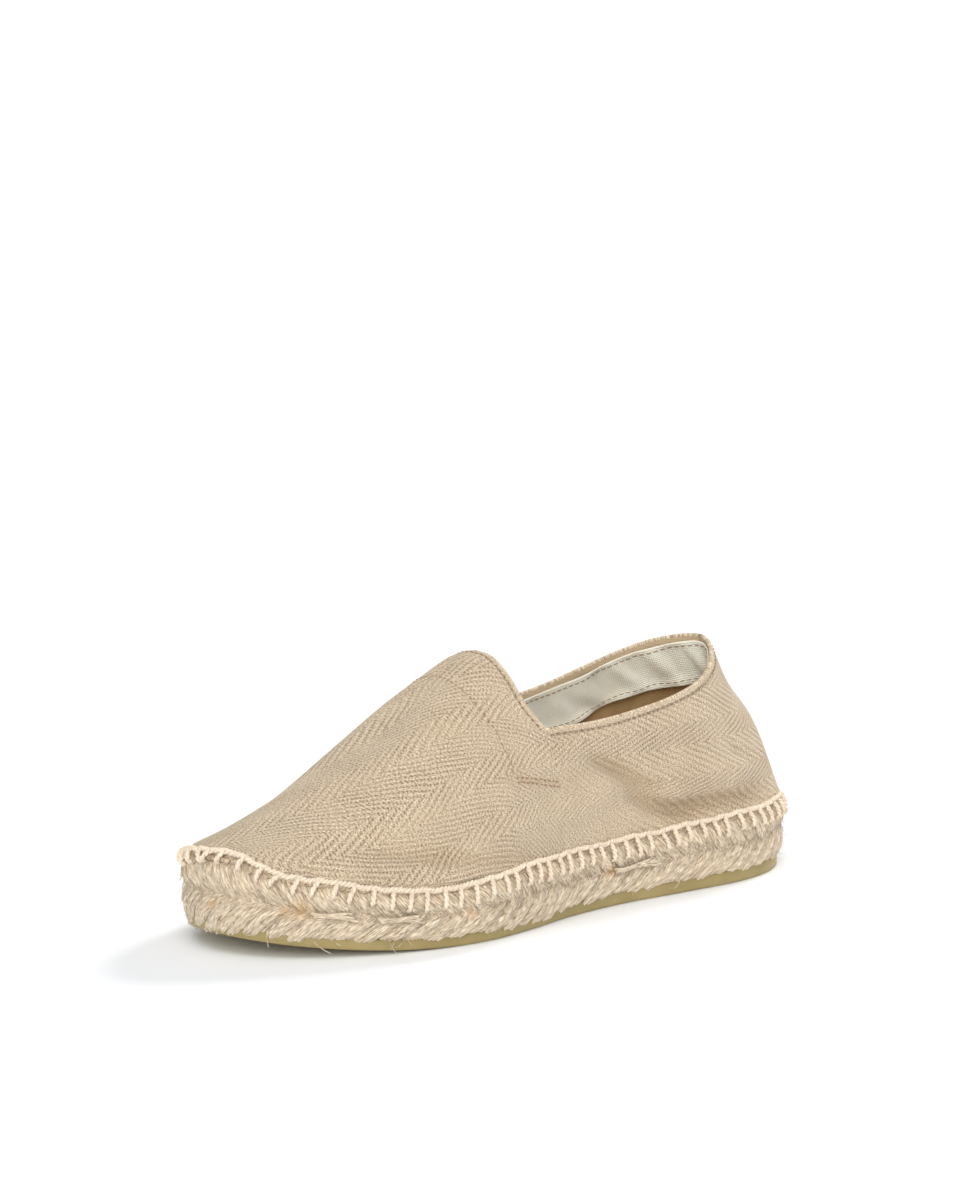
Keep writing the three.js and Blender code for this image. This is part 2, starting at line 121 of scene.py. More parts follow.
# Distance along the outline from the toe's tip (the outer side is negative), and the seam's rise there
TOE_RISE = [
    (-120, 0),
    (-95, -1.2),
    (-72, -1.5),
    (-60, -0.7),
    (-48, -0.2),
    (-36, -0.5),
    (-28, -0.3),
    (-24, 0.4),
    (-20, 1.2),
    (-16, 2.4),
    (-12, 3.4),
    (-8, 3.5),
    (-4, 3.1),
    (0, 2.5),
    (4, 1.9),
    (8, 1.4),
    (14, 0.8),
    (24, 0.5),
    (50, 0),
]
RISE_LEAN = 0.15  # inwards, for each millimetre of rise

# Half a section of the vamp, from the sole's edge to the ridge: its shares of the half width and of
# the height, at the throat and at the ball. Row CORNER_ROW is the throat's corner.
CORNER_ROW = 4
SECTIONS = [
    (1, 0, 1, 0),
    (0.99, 0.14, 0.93, 0.15),
    (0.95, 0.3, 0.83, 0.31),
    (0.88, 0.45, 0.71, 0.475),
    (0.77, 0.59, 0.58, 0.63),
    (0.625, 0.71, 0.44, 0.775),
    (0.44, 0.87, 0.3, 0.89),
    (0.22, 0.975, 0.155, 0.97),
    (0, 1, 0, 1),
]

# The vamp's ridge from the throat (0) to the toe (1): share of the height between its two ends
RIDGE = [
    (0, 1),
    (0.05, 0.98),
    (0.15, 0.87),
    (0.42, 0.525),
    (0.69, 0.265),
    (0.88, 0.095),
    (0.96, 0.03),
    (1, 0),
]

# The collar: share of the way from the throat's corner to the back, then shares of COLLAR_WIDTH
# and of the rise to the back, for the outer side and for the inner side
COLLAR = [
    (0.22, 0.5, 0.03, 0.5, 0.02),
    (0.44, 0.485, 0.13, 0.49, 0.18),
    (0.64, 0.44, 0.26, 0.455, 0.44),
    (0.8, 0.36, 0.43, 0.395, 0.69),
    (0.92, 0.235, 0.7, 0.265, 0.91),
]

# How far the quarter stands out from a straight wall, in shares of WALL, at the side and at the heel
QUARTER_BULGE = [(0, 0), (0.9, 1.4), (1.5, 1.5), (1.2, 0.2), (0, 0)]

# The cloth below the edge band, from its cut edge up: above the sole's edge, outside the rubber's outline
SKIRT = [
    (-1.7, -0.3),
    (-1.2, 0.1),
    (-0.7, 0.35),
    (-0.1, 0.4),
    (0.6, 0.2),
    (1.4, -0.1),
    (2.3, WALL - UPPER_INSET),
]
SKIRT_WALL = 0.8
TURN = 7  # above the edge band, the height over which the wall's direction turns from level to square
PUCKER_HEIGHT = 8
PUCKER = 0.45

# Where the forms blend, in shares of the vamp's or the quarter's length from the throat
BALL_FROM = 0.5
TOE_DRIFT_FROM = 0.2
THROAT_FADE = 0.25
HEEL_FROM = 0.45

# Herringbone cloth
STRIPE_DOWN = 7.8
STRIPE_UP = 11.2
WALE_PITCH = 2.0
WALE_SLOPE = 0.4
WALE_SHEAR = 0.2
SHEAR_TURN = (25, -15)  # places along the stripes between which the cloth's skew changes hand
WEFT_PITCH = 1.3
# Where the weave hardly shows: middle and reach across the stripes, then along them
CALM = [(44, 17, -22, 42), (8, 10, -22, 30)]
# How the stripes bend on the vamp: by BEND for each millimetre ahead of BEND_FROM, less BEND_BACK,
# and less BEND_TOE ahead of BEND_TOE_SPAN on the outer side
BEND = 0.27
BEND_FROM = 190
BEND_BACK = 11
BEND_TOE = 5
BEND_TOE_SPAN = (160, 200)
CLOTH_PER_HEIGHT = 1.043  # on the quarter, whose wall leans a little
HEM_WIDTH = 2.1  # from the rim to the hem's stitch row

# Hand stitches and jute
STITCHES = 95
STRANDS = 74
YARNS = 5
YARN_RADIUS = 1.1
THREAD_RADIUS = 0.56
HAIRS = 3000
CORE_STEPS = 360  # round the closed inside of the jute

# Mesh density
COUNT = 720
HALF = COUNT // 2
HALF_ROWS = 56
CORNER = HALF_ROWS * CORNER_ROW // (len(SECTIONS) - 1)
VAMP_SECTIONS = 130
QUARTER_RIBS = 110
SKIRT_ROWS = 9
THROAT_LINES = 24  # sections of the vamp that the throat's hem can lie on


def lerp(a, b, t):
    return a + (b - a) * t


def smoothstep(t, low=0.0, high=1.0):
    t = np.clip((t - low) / (high - low), 0, 1)
    return t * t * (3 - 2 * t)


def unit(vectors):
    return vectors / np.maximum(np.linalg.norm(vectors, axis=-1, keepdims=True), 1e-9)


def smooth_through(knots, values):
    """A smooth curve through values at increasing knots, as a function of the knot's parameter."""
    knots = np.asarray(knots, float)
    values = np.asarray(values, float)
    wide = (-1,) + (1,) * (values.ndim - 1)
    step = np.diff(knots)
    slope = np.diff(values, axis=0) / step.reshape(wide)
    weight = (step[1:] / (step[:-1] + step[1:])).reshape(wide)
    tangent = np.concatenate([slope[:1], slope[:-1] * weight + slope[1:] * (1 - weight), slope[-1:]])

    def at(u):
        u = np.asarray(u, float)
        i = np.clip(np.searchsorted(knots, u, side="right") - 1, 0, len(step) - 1)
        t = np.clip((u - knots[i]) / step[i], 0, 1)
        span = step[i]
        if values.ndim > 1:
            t, span = t[..., None], span[..., None]
        t2, t3 = t * t, t * t * t
        start = (2 * t3 - 3 * t2 + 1) * values[i] + (t3 - 2 * t2 + t) * span * tangent[i]
        return start + (3 * t2 - 2 * t3) * values[i + 1] + (t3 - t2) * span * tangent[i + 1]

    return at


def table(rows, column):
    """A table's column as a smooth function of its first column."""
    rows = np.array(rows, float)
    return smooth_through(rows[:, 0], rows[:, column])


def by_row(rows, column):
    """A table's column as a smooth function of the row's share of the table."""
    rows = np.array(rows, float)
    return smooth_through(np.linspace(0, 1, len(rows)), rows[:, column])


def knots_of(points):
    chords = np.linalg.norm(np.diff(points, axis=0), axis=1)
    return np.concatenate([[0], np.cumsum(np.sqrt(chords))])


def lengths_along(points, axis=0):
    """The distance run along a polyline, or along each line of a grid, from its start."""
    points = np.moveaxis(points, axis, 0)
    chords = np.linalg.norm(np.diff(points, axis=0), axis=-1)
    run = np.concatenate([np.zeros_like(chords[:1]), np.cumsum(chords, axis=0)])
    return np.moveaxis(run, 0, axis)


def at_shares(rows, shares, dims):
    """Rows along a polyline at shares of its length, which is measured on its first dims columns."""
    run = lengths_along(rows[:, :dims])
    return np.column_stack([np.interp(shares * run[-1], run, column) for column in rows.T])


def fine_outline():
    rows = np.array([(at * LENGTH, of * outer, -of * inner) for at, of, outer, inner in OUTLINE])
    outer = rows[:, [0, 1]]
    inner = rows[::-1][:, [0, 2]]
    loop = np.vstack([[(0, 0)], outer, [(LENGTH, -TOE_DRIFT)], inner])
    padded = np.vstack([loop[-2:], loop, loop[:3]])
    knots = knots_of(padded)
    heel, toe, heel_again = knots[2], knots[2 + len(outer) + 1], knots[2 + len(loop)]
    share = np.arange(HALF) / HALF
    places = np.concatenate([lerp(heel, toe, share), lerp(toe, heel_again, share)])
    return smooth_through(knots, padded)(places)


RUBBER = fine_outline()
SHIFT = np.array([*(RUBBER.min(0) - RUBBER_LOW[:2]), 0])
ALONG = unit(np.roll(RUBBER, -1, axis=0) - np.roll(RUBBER, 1, axis=0))
OUTWARD = np.column_stack([-ALONG[:, 1], ALONG[:, 0]])
CANVAS = RUBBER - OUTWARD * UPPER_INSET
TOE_X = CANVAS[HALF, 0]
RUN = lengths_along(np.vstack([RUBBER, RUBBER[:1]]))
AROUND = RUN[-1]

sole_edge = table(SOLE_EDGE, 1)
jute_out = table(JUTE_SIDE, 1)
strand_out = table(STRAND_SIDE, 1)


def spring_at(x):
    t = np.clip((x / LENGTH - SPRING_FROM) / (1 - SPRING_FROM), 0, 1.05)
    return TOE_SPRING * t * t


def edge_at(x):
    return spring_at(x) + SOLE_HEIGHT * sole_edge(np.clip(x / LENGTH, 0, 1))


def rubber_top_at(x):
    return spring_at(x) + lerp(RUBBER_HEEL, RUBBER_TOE, np.clip(x / LENGTH, 0, 1))


def band_top_at(x):
    return edge_at(x) + GAP + EDGE_BAND


def metres(points):
    return (points - SHIFT) * MM


def station_of(run):
    """The station at a distance along the outline from the heel's back."""
    return np.interp(np.mod(run, AROUND), RUN, np.arange(COUNT + 1))


def on_rail(station, table_2d):
    """A row of one of the outline's tables at float stations."""
    low = np.floor(station).astype(int)
    t = (station - low)[..., None]
    return table_2d[low % COUNT] * (1 - t) + table_2d[(low + 1) % COUNT] * t


def beside(station, out):
    """Points on the outline moved outwards, as X and Y."""
    return on_rail(station, RUBBER) + unit(on_rail(station, OUTWARD)) * np.asarray(out)[..., None]


def toe_rise(run):
    """How far the jute's top edge and its seam stand above the plain sole's edge."""
    return np.interp(np.mod(run, AROUND) - AROUND / 2, *np.transpose(TOE_RISE))


def jute_point(run, up, out):
    """A point on the jute's side: distance along the outline, share of the height, and how far outwards."""
    rise = toe_rise(run) * np.clip(up, 0, 1.1) ** 2
    place = beside(station_of(run), out - RISE_LEAN * np.maximum(rise, 0))
    z = lerp(rubber_top_at(place[..., 0]) + GAP, edge_at(place[..., 0]) + rise, up)
    return np.concatenate([place, z[..., None]], axis=-1)


def edge_point(run, above, out):
    """A point by the sole's top edge: distance along the outline, height above it, how far outwards."""
    rise = toe_rise(run)
    place = beside(station_of(run), out - RISE_LEAN * np.maximum(rise, 0))
    z = edge_at(place[..., 0]) + above + rise
    return np.concatenate([place, z[..., None]], axis=-1)


def outward_at(run):
    flat = unit(on_rail(station_of(run), OUTWARD))
    return np.concatenate([flat, np.zeros_like(flat[..., :1])], axis=-1)


# The upper's sheet

throat_out, throat_up, ball_out, ball_up = (by_row(SECTIONS, k) for k in range(4))
ridge_height = table(RIDGE, 1)
bulge_at_side = by_row(QUARTER_BULGE, 0)
bulge_at_heel = by_row(QUARTER_BULGE, 1)
skirt_up = by_row(SKIRT, 0)
skirt_out = by_row(SKIRT, 1)
CORNER_SHARE = CORNER / HALF_ROWS


def sides(outline):
    """The two halves of an outline from heel to toe, as rows of X, Y and station."""
    ring = np.column_stack([np.vstack([outline, outline[:1]]), np.arange(COUNT + 1)])
    return ring[: HALF + 1], ring[HALF:][::-1]


def side_at(half, x):
    """Y and station of an outline's half at a distance along the shoe, ahead of the heel."""
    fore = half[HALF // 4 :]
    rising = np.maximum.accumulate(fore[:, 0])
    return np.interp(x, rising, fore[:, 1]), np.interp(x, rising, fore[:, 2])


def stitch_press(station):
    """1 where a hand stitch presses the cloth, 0 halfway between two stitches."""
    return 0.5 + 0.5 * np.cos(2 * math.pi * STITCHES * np.interp(station, np.arange(COUNT + 1), RUN) / AROUND)


def skirt_rows(station):
    """The cloth from its cut edge to just below the edge band's top, for an array of stations."""
    share = np.linspace(0, 1, SKIRT_ROWS + 1)[:-1]
    above, out = skirt_up(share), skirt_out(share)
    puff = np.sin(np.pi * share) * (0.3 - 0.6 * stitch_press(station)[:, None])
    ragged = 0.2 * np.sin(station * 0.61) + 0.2 * np.sin(station * 1.43 + 1)
    height = above[None, :] + ragged[:, None] * (1 - share) ** 2
    place = beside(np.repeat(station[:, None], SKIRT_ROWS, axis=1), out[None, :] + puff)
    z = edge_at(place[..., 0]) + height
    return np.concatenate([place, z[..., None]], axis=-1)


def vamp_side(q, half):
    """One side of the sections across the vamp: the cloth's skirt, then the rows up to the ridge."""
    x = lerp(THROAT, TOE_X, np.sin(q * math.pi / 2))
    foot_y, station = side_at(half, x)
    ridge_x = x + THROAT_RISE * (1 - q) ** 3
    ridge_share = (ridge_x - THROAT - THROAT_RISE) / (TOE_X - THROAT - THROAT_RISE)
    ridge_y = -TOE_DRIFT * smoothstep(q, TOE_DRIFT_FROM, 1)
    ridge_z = lerp(band_top_at(TOE_X), INSTEP_HEIGHT, ridge_height(ridge_share))
    band = band_top_at(x)
    to_ball = smoothstep(q, 0, BALL_FROM)[:, None]
    share = np.linspace(0, 1, HALF_ROWS + 1)[None, :]
    corner_up = throat_up(CORNER_SHARE)
    ahead = np.maximum(0, 1 - (throat_out(share) / throat_out(CORNER_SHARE)) ** THROAT_SQUARE)
    corner_y = lerp(ridge_y, foot_y, throat_out(CORNER_SHARE))
    corner_z = lerp(band, ridge_z, corner_up)
    wanted_y = np.sign(foot_y) * THROAT_WIDTH / 2
    up = lerp(throat_up(share), ball_up(share), to_ball)
    out = lerp(throat_out(share), ball_out(share), to_ball)
    near = np.minimum(share / CORNER_SHARE, (1 - share) / (1 - CORNER_SHARE))
    pull = smoothstep(near) * (1 - to_ball)
    rows = np.stack(
        [
            lerp(x[:, None], ridge_x[:, None], ahead),
            lerp(ridge_y[:, None], foot_y[:, None], out) + (wanted_y - corner_y)[:, None] * pull,
            lerp(band[:, None], ridge_z[:, None], up) + (THROAT_HEIGHT - corner_z)[:, None] * pull,
        ],
        axis=-1,
    )
    return np.concatenate([skirt_rows(station), rows], axis=1)


def collar_curves():
    """The collar's two sides, each from the throat's corner to the back."""

    def side(sign, out, rise):
        rows = [(THROAT, sign * THROAT_WIDTH / 2, THROAT_HEIGHT)]
        for row in COLLAR:
            z = lerp(THROAT_HEIGHT, BACK_HEIGHT, row[rise])
            rows.append((lerp(THROAT, COLLAR_BACK, row[0]), sign * row[out] * COLLAR_WIDTH, z))
        return rows

    outer = side(1, 1, 2)
    inner = side(-1, 3, 4)
    points = np.array([*outer, (COLLAR_BACK, 0, BACK_HEIGHT), *inner[::-1]], float)
    knots = knots_of(points)
    curve = smooth_through(knots, points)
    share = np.linspace(0, 1, COUNT // 4 + 1)
    back = knots[len(outer)]
    return curve(lerp(0, back, share)), curve(lerp(knots[-1], back, share))


def quarter_side(half, collar, throat, sign):
    """The quarter's ribs on one side, from the throat's own section to the heel's back."""
    shares = np.linspace(0, 1, QUARTER_RIBS + 1)
    foot_y, station = side_at(half, THROAT)
    foot_line = np.vstack([[(THROAT, foot_y, station)], half[half[:, 0] < THROAT][::-1]])
    feet = at_shares(foot_line, shares, 2)
    tops = at_shares(collar, shares, 3)
    to_heel = smoothstep(shares, HEEL_FROM, 1)[:, None]
    from_throat = smoothstep(shares, 0, THROAT_FADE)[:, None]
    ends = np.vstack([feet[:1], feet, feet[-1:]])
    along = unit(ends[2:, :2] - ends[:-2, :2])
    outward = sign * np.column_stack([along[:, 1], -along[:, 0], np.zeros(len(along))])
    band = np.column_stack([feet[:, :2], band_top_at(feet[:, 0])])
    share = np.arange(CORNER + 1) / HALF_ROWS
    up = throat_up(share) / throat_up(CORNER_SHARE)
    first, last = throat[SKIRT_ROWS], throat[SKIRT_ROWS + CORNER]
    chord = lerp(first[1], last[1], up)
    throat_bulge = np.abs(throat[SKIRT_ROWS : SKIRT_ROWS + CORNER + 1, 1]) - np.abs(chord)
    part = np.arange(CORNER + 1) / CORNER
    own = WALL * lerp(bulge_at_side(part)[None, :], bulge_at_heel(part)[None, :], to_heel)
    bulge = lerp(throat_bulge[None, :], own, from_throat)
    rows = lerp(band[:, None, :], tops[:, None, :], up[None, :, None])
    rows = rows + outward[:, None, :] * bulge[..., None]
    return np.concatenate([skirt_rows(feet[:, 2]), rows], axis=1), feet[:, 2]


def triangles_of(grid):
    """Two triangles for each cell of a grid of vertex numbers, without those that shared points flatten."""
    a, b, c, d = grid[:-1, :-1], grid[1:, :-1], grid[1:, 1:], grid[:-1, 1:]
    faces = np.stack([np.stack([a, b, c], -1), np.stack([a, c, d], -1)], 2).reshape(-1, 3)
    kept = (faces[:, 0] != faces[:, 1]) & (faces[:, 1] != faces[:, 2]) & (faces[:, 2] != faces[:, 0])
    return faces[kept]


def normals_of(points, faces):
    corners = points[faces]
    across = np.cross(corners[:, 1] - corners[:, 0], corners[:, 2] - corners[:, 0])
    total = np.zeros_like(points)
    for k in range(3):
        np.add.at(total, faces[:, k], across)
    return unit(total)


def put(name, data):
    """A new object in the scene."""
    thing = bpy.data.objects.new(name, data)
    bpy.context.scene.collection.objects.link(thing)
    return thing


def mesh_piece(name, points, faces, materials, face_material=None, **attributes):
    """An object from points in the shoe's frame and triangles, with named vector attributes on its points."""
    mesh = bpy.data.meshes.new(name)
    mesh.from_pydata(metres(points).astype(np.float32), [], np.asarray(faces, np.int32))
    for label, values in attributes.items():
        mesh.attributes.new(label, "FLOAT_VECTOR", "POINT").data.foreach_set(
            "vector", np.ascontiguousarray(values, np.float32).ravel()
        )
    for material in materials:
        mesh.materials.append(material)
    if face_material is not None:
        mesh.polygons.foreach_set("material_index", np.asarray(face_material, np.int32))
    mesh.polygons.foreach_set("use_smooth", np.ones(len(mesh.polygons), bool))
    mesh.update()
    piece = put(name, mesh)
    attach(piece, "root")
    return piece


class Finish:
    """A material with short ways to add nodes to it."""

    def __init__(self, name, roughness, sheen=0.0):
        self.material = bpy.data.materials.new(name)
        self.material.use_nodes = True
        self.tree = self.material.node_tree
        self.skin = self.tree.nodes["Principled BSDF"]
        self.skin.inputs["Roughness"].default_value = roughness
        self.skin.inputs["Sheen Weight"].default_value = sheen
        self.skin.inputs["Sheen Roughness"].default_value = 0.5
        self.skin.inputs["Specular IOR Level"].default_value = 0.25

    def feed(self, socket, value):
        if isinstance(value, bpy.types.NodeSocket):
            self.tree.links.new(value, socket)
        elif value is not None:
            socket.default_value = value

    def math(self, operation, *values):
        node = self.tree.nodes.new("ShaderNodeMath")
        node.operation = operation
        for socket, value in zip(node.inputs, values):
            self.feed(socket, value)
        return node.outputs[0]

    def add(self, a, b):
        return self.math("ADD", a, b)

    def times(self, a, b):
        return self.math("MULTIPLY", a, b)

    def scaled(self, value, factor, more):
        """value * factor + more"""
        return self.math("MULTIPLY_ADD", value, factor, more)

    def wave(self, turns):
        """A cosine wave from 0 to 1, highest where turns is whole."""
        return self.scaled(self.math("COSINE", self.times(turns, 2 * math.pi)), 0.5, 0.5)

    def parts(self, attribute):
        """The three numbers of a point attribute."""
        read = self.tree.nodes.new("ShaderNodeAttribute")
        read.attribute_name = attribute
        split = self.tree.nodes.new("ShaderNodeSeparateXYZ")
        self.feed(split.inputs[0], read.outputs["Vector"])
        return split.outputs

    def place(self, *values):
        joined = self.tree.nodes.new("ShaderNodeCombineXYZ")
        for socket, value in zip(joined.inputs, values):
            self.feed(socket, value)
        return joined.outputs[0]

    def noise(self, place, scale, detail=2.0):
        node = self.tree.nodes.new("ShaderNodeTexNoise")
        self.feed(node.inputs["Vector"], place)
        node.inputs["Scale"].default_value = scale
        node.inputs["Detail"].default_value = detail
        return node.outputs[0]

    def position(self):
        return self.tree.nodes.new("ShaderNodeTexCoord").outputs["Object"]

    def distance(self, place, point):
        node = self.tree.nodes.new("ShaderNodeVectorMath")
        node.operation = "DISTANCE"
        self.feed(node.inputs[0], place)
        node.inputs[1].default_value = point
        return node.outputs["Value"]

    def blend(self, share, first, second):
        node = self.tree.nodes.new("ShaderNodeMix")
        node.data_type = "RGBA"
        self.feed(node.inputs[0], share)
        self.feed(node.inputs[6], first)
        self.feed(node.inputs[7], second)
        return node.outputs[2]

    def between(self, value, low, high):
        """0 at low and under, 1 at high and over."""
        node = self.tree.nodes.new("ShaderNodeMapRange")
        self.feed(node.inputs[0], value)
        node.inputs[1].default_value = low
        node.inputs[2].default_value = high
        return node.outputs[0]

    def colour(self, value):
        self.feed(self.skin.inputs["Base Color"], value)

    def bump(self, height, depth):
        node = self.tree.nodes.new("ShaderNodeBump")
        node.inputs["Distance"].default_value = depth * MM
        self.feed(node.inputs["Height"], height)
        self.feed(self.skin.inputs["Normal"], node.outputs[0])


def tint(red, green, blue):
    """A colour given as it looks on a screen, from 0 to 255, as linear light."""

    def linear(value):
        value /= 255
        return value / 12.92 if value <= 0.04045 else ((value + 0.055) / 1.055) ** 2.4

    return (linear(red), linear(green), linear(blue), 1)


def canvas_finish():
    finish = Finish("herringbone_canvas", 0.92, sheen=0.12)
    u, v, from_rim = finish.parts("cloth")
    flat = finish.place(u, v)
    drift = finish.add(finish.noise(flat, 0.07, 1), -0.5)
    across = finish.math("FLOORED_MODULO", u, STRIPE_DOWN + STRIPE_UP)
    turns = finish.math("ABSOLUTE", finish.add(across, -STRIPE_DOWN))
    sheared = finish.scaled(finish.between(v, *SHEAR_TURN), 2 * WALE_SHEAR, -WALE_SHEAR)
    turns = finish.math("SUBTRACT", turns, finish.times(u, sheared))
    turns = finish.scaled(v, WALE_SLOPE, turns)
    turns = finish.scaled(drift, 1.4, turns)
    wale = finish.wave(finish.times(turns, 1 / WALE_PITCH))
    pick = finish.wave(finish.scaled(drift, 0.6, finish.times(v, 1 / WEFT_PITCH)))
    grain = finish.noise(flat, 1.9, 2)
    fibre = finish.noise(finish.place(finish.times(u, 2.4), v), 1.3, 3)
    valley = finish.math("POWER", finish.math("SUBTRACT", 1, wale), 2)
    pit = finish.times(valley, finish.math("POWER", pick, 2))
    pit = finish.times(pit, finish.between(grain, 0.3, 0.55))
    strong = finish.between(finish.noise(finish.place(finish.times(u, 1.6), v), 0.055, 2), 0.4, 0.6)
    strong = finish.scaled(strong, 0.5, 0.5)
    for middle_u, reach_u, middle_v, reach_v in CALM:
        far_u = finish.math("POWER", finish.times(finish.add(u, -middle_u), 1 / reach_u), 2)
        far_v = finish.math("POWER", finish.times(finish.add(v, -middle_v), 1 / reach_v), 2)
        calm = finish.scaled(finish.between(finish.add(far_u, far_v), 0.2, 1.3), 0.8, 0.2)
        strong = finish.times(strong, calm)
    strong = finish.times(strong, finish.between(from_rim, 0.4, 1.8))
    valley, pit = finish.times(valley, strong), finish.times(pit, strong)
    cloud = finish.between(finish.noise(flat, 0.04, 2), 0.35, 0.7)
    speck = finish.between(finish.noise(flat, 2.7, 1), 0.3, 0.44)
    light = finish.blend(finish.between(fibre, 0.36, 0.64), tint(138, 116, 88), tint(238, 218, 190))
    # Painted shade: the cloth is darker where the creases push it in, by the crease depth in the folds
    # attribute
    crease_shade = finish.between(finish.parts("folds")[0], 0.4, 3.4)
    # Painted shade along the hem's stitch row, in the groove that the bump also sinks there
    off_row = finish.math("ABSOLUTE", finish.add(from_rim, -HEM_WIDTH))
    row = finish.math("SUBTRACT", 1, finish.between(off_row, 0.1, 0.5))
    for share, colour in (
        (finish.times(finish.between(grain, 0.48, 0.66), 0.65), tint(236, 221, 196)),
        (finish.times(valley, 0.25), tint(148, 126, 94)),
        (finish.times(pit, 0.9), tint(88, 68, 44)),
        (finish.times(cloud, 0.2), tint(172, 151, 122)),
        (finish.scaled(speck, -0.3, 0.3), tint(120, 98, 70)),
        (finish.times(crease_shade, 0.3), tint(138, 108, 70)),
        (finish.times(row, 0.15), tint(128, 105, 76)),
    ):
        light = finish.blend(share, light, colour)
    finish.colour(light)
    height = finish.scaled(pit, -0.8, finish.times(wale, 0.8))
    height = finish.scaled(fibre, 0.5, height)
    height = finish.scaled(grain, 0.4, height)
    finish.bump(finish.scaled(row, -1.6, height), 0.36)
    return finish.material


def plain_weave(name, pitch, light, dark, depth=0.12, hem=None):
    """Plain cloth with two colours of thread, and a third near a rim where hem is given."""
    finish = Finish(name, 0.92, sheen=0.1)
    u, v, from_rim = finish.parts("cloth")
    flat = finish.place(u, v)
    drift = finish.times(finish.noise(flat, 0.3, 1), 0.8)
    across = finish.wave(finish.add(drift, finish.times(u, 1 / pitch)))
    along = finish.wave(finish.add(drift, finish.times(v, 1 / pitch)))
    crossing = finish.times(across, along)
    cloud = finish.noise(flat, 0.08, 3)
    mixed = finish.add(finish.times(crossing, 0.45), finish.between(cloud, 0.25, 0.85))
    mixed = finish.blend(finish.between(mixed, 0.1, 1.2), dark, light)
    if hem:
        mixed = finish.blend(finish.between(from_rim, 3.4, 2.8), mixed, hem)
    finish.colour(mixed)
    finish.bump(finish.add(crossing, finish.times(finish.noise(flat, 1.7, 2), 0.5)), depth)
    return finish.material


def yarn_finish(name, pale, middle, dark, spot, roughness, depth, grain, stains=()):
    """Fibrous yarn: its attribute yarn holds millimetres round it and along it, and a random tone."""
    finish = Finish(name, roughness, sheen=0.25)
    around, along, tone = finish.parts("yarn")
    thin = finish.place(finish.times(around, grain), finish.times(along, grain * 0.12), tone)
    fibre = finish.noise(thin, 1.0, 3)
    broad = finish.place(finish.times(around, grain * 0.3), finish.times(along, 0.12), tone)
    coarse = finish.noise(broad, 1.0, 2)
    streak = finish.blend(finish.between(fibre, 0.32, 0.68), dark, pale)
    streak = finish.blend(finish.times(finish.between(coarse, 0.42, 0.7), 0.55), streak, middle)
    for centre, reach in stains:
        apart = finish.distance(finish.position(), tuple(centre))
        away = finish.scaled(fibre, reach * MM, apart)
        stained = finish.times(finish.between(away, 1.5 * reach * MM, 0.6 * reach * MM), 0.55)
        streak = finish.blend(stained, streak, spot)
    finish.colour(streak)
    finish.bump(finish.add(fibre, finish.times(coarse, 0.6)), depth)
    return finish.material


def rubber_finish():
    finish = Finish("gum_rubber", 0.42)
    finish.skin.inputs["Subsurface Weight"].default_value = 0.35
    finish.skin.inputs["Subsurface Radius"].default_value = (1.0, 0.75, 0.3)
    finish.skin.inputs["Subsurface Scale"].default_value = 2 * MM
    place = finish.position()
    cloud = finish.noise(place, 60, 3)
    grain = finish.noise(place, 1600, 2)
    finish.colour(finish.blend(finish.between(cloud, 0.3, 0.7), tint(152, 136, 90), tint(168, 151, 104)))
    finish.bump(finish.add(finish.times(cloud, 0.6), finish.times(grain, 0.25)), 0.15)
    return finish.material


def tubes(paths, radius, sides, outward, flatten=1.0, tone=None):
    """Closed tubes along k paths of n points: points, triangles and the yarn attribute.

    radius is one number or one for each point; outward gives each point's outer direction, along
    which the section is flattened.
    """
    count, steps, _ = paths.shape
    radius = np.broadcast_to(np.asarray(radius, float), (count, steps)).copy()
    radius[:, 0] *= 0.15
    radius[:, -1] *= 0.15
    tangent = unit(np.gradient(paths, axis=1))
    side = unit(np.cross(tangent, np.broadcast_to(outward, paths.shape)))
    top = np.cross(side, tangent)
    angle = 2 * math.pi * np.arange(sides) / sides
    ring = side[..., None, :] * np.cos(angle)[:, None]
    ring = ring + top[..., None, :] * (flatten * np.sin(angle))[:, None]
    points = paths[..., None, :] + ring * radius[..., None, None]
    number = np.arange(count * steps * sides).reshape(count, steps, sides)
    wrapped = np.concatenate([number, number[..., :1]], axis=2)
    a, b = wrapped[:, :-1, :-1], wrapped[:, :-1, 1:]
    c, d = wrapped[:, 1:, 1:], wrapped[:, 1:, :-1]
    faces = [np.stack([a, b, c], -1).reshape(-1, 3), np.stack([a, c, d], -1).reshape(-1, 3)]
    for k in range(1, sides - 1):
        faces.append(np.stack([number[:, 0, 0], number[:, 0, k + 1], number[:, 0, k]], -1))
        faces.append(np.stack([number[:, -1, 0], number[:, -1, k], number[:, -1, k + 1]], -1))
    run = lengths_along(paths, 1)
    tone = RANDOM.uniform(0, 40, count) if tone is None else np.broadcast_to(tone, count)
    yarn = np.stack(
        [
            np.broadcast_to(angle * np.mean(radius), number.shape),
            np.broadcast_to(run[..., None], number.shape),
            np.broadcast_to(np.asarray(tone, float)[:, None, None], number.shape),
        ],
        axis=-1,
    )
    return points.reshape(-1, 3), np.concatenate(faces), yarn.reshape(-1, 3)


def joined(*parts):
    """Several sets of points, triangles and attribute rows as one."""
    points, faces, rows = zip(*parts)
    base = np.cumsum([0] + [len(p) for p in points[:-1]])
    return np.vstack(points), np.vstack([f + b for f, b in zip(faces, base)]), np.vstack(rows)


def plies(paths, outward, turn, spread, phase=0.0):
    """The two helices of a two-ply thread round each path."""
    tangent = unit(np.gradient(paths, axis=1))
    side = unit(np.cross(tangent, np.broadcast_to(outward, paths.shape)))
    top = np.cross(side, tangent)
    angle = (2 * math.pi * lengths_along(paths, 1) / turn + phase)[..., None]
    swing = spread * (side * np.cos(angle) + top * np.sin(angle))
    return paths + swing, paths - swing


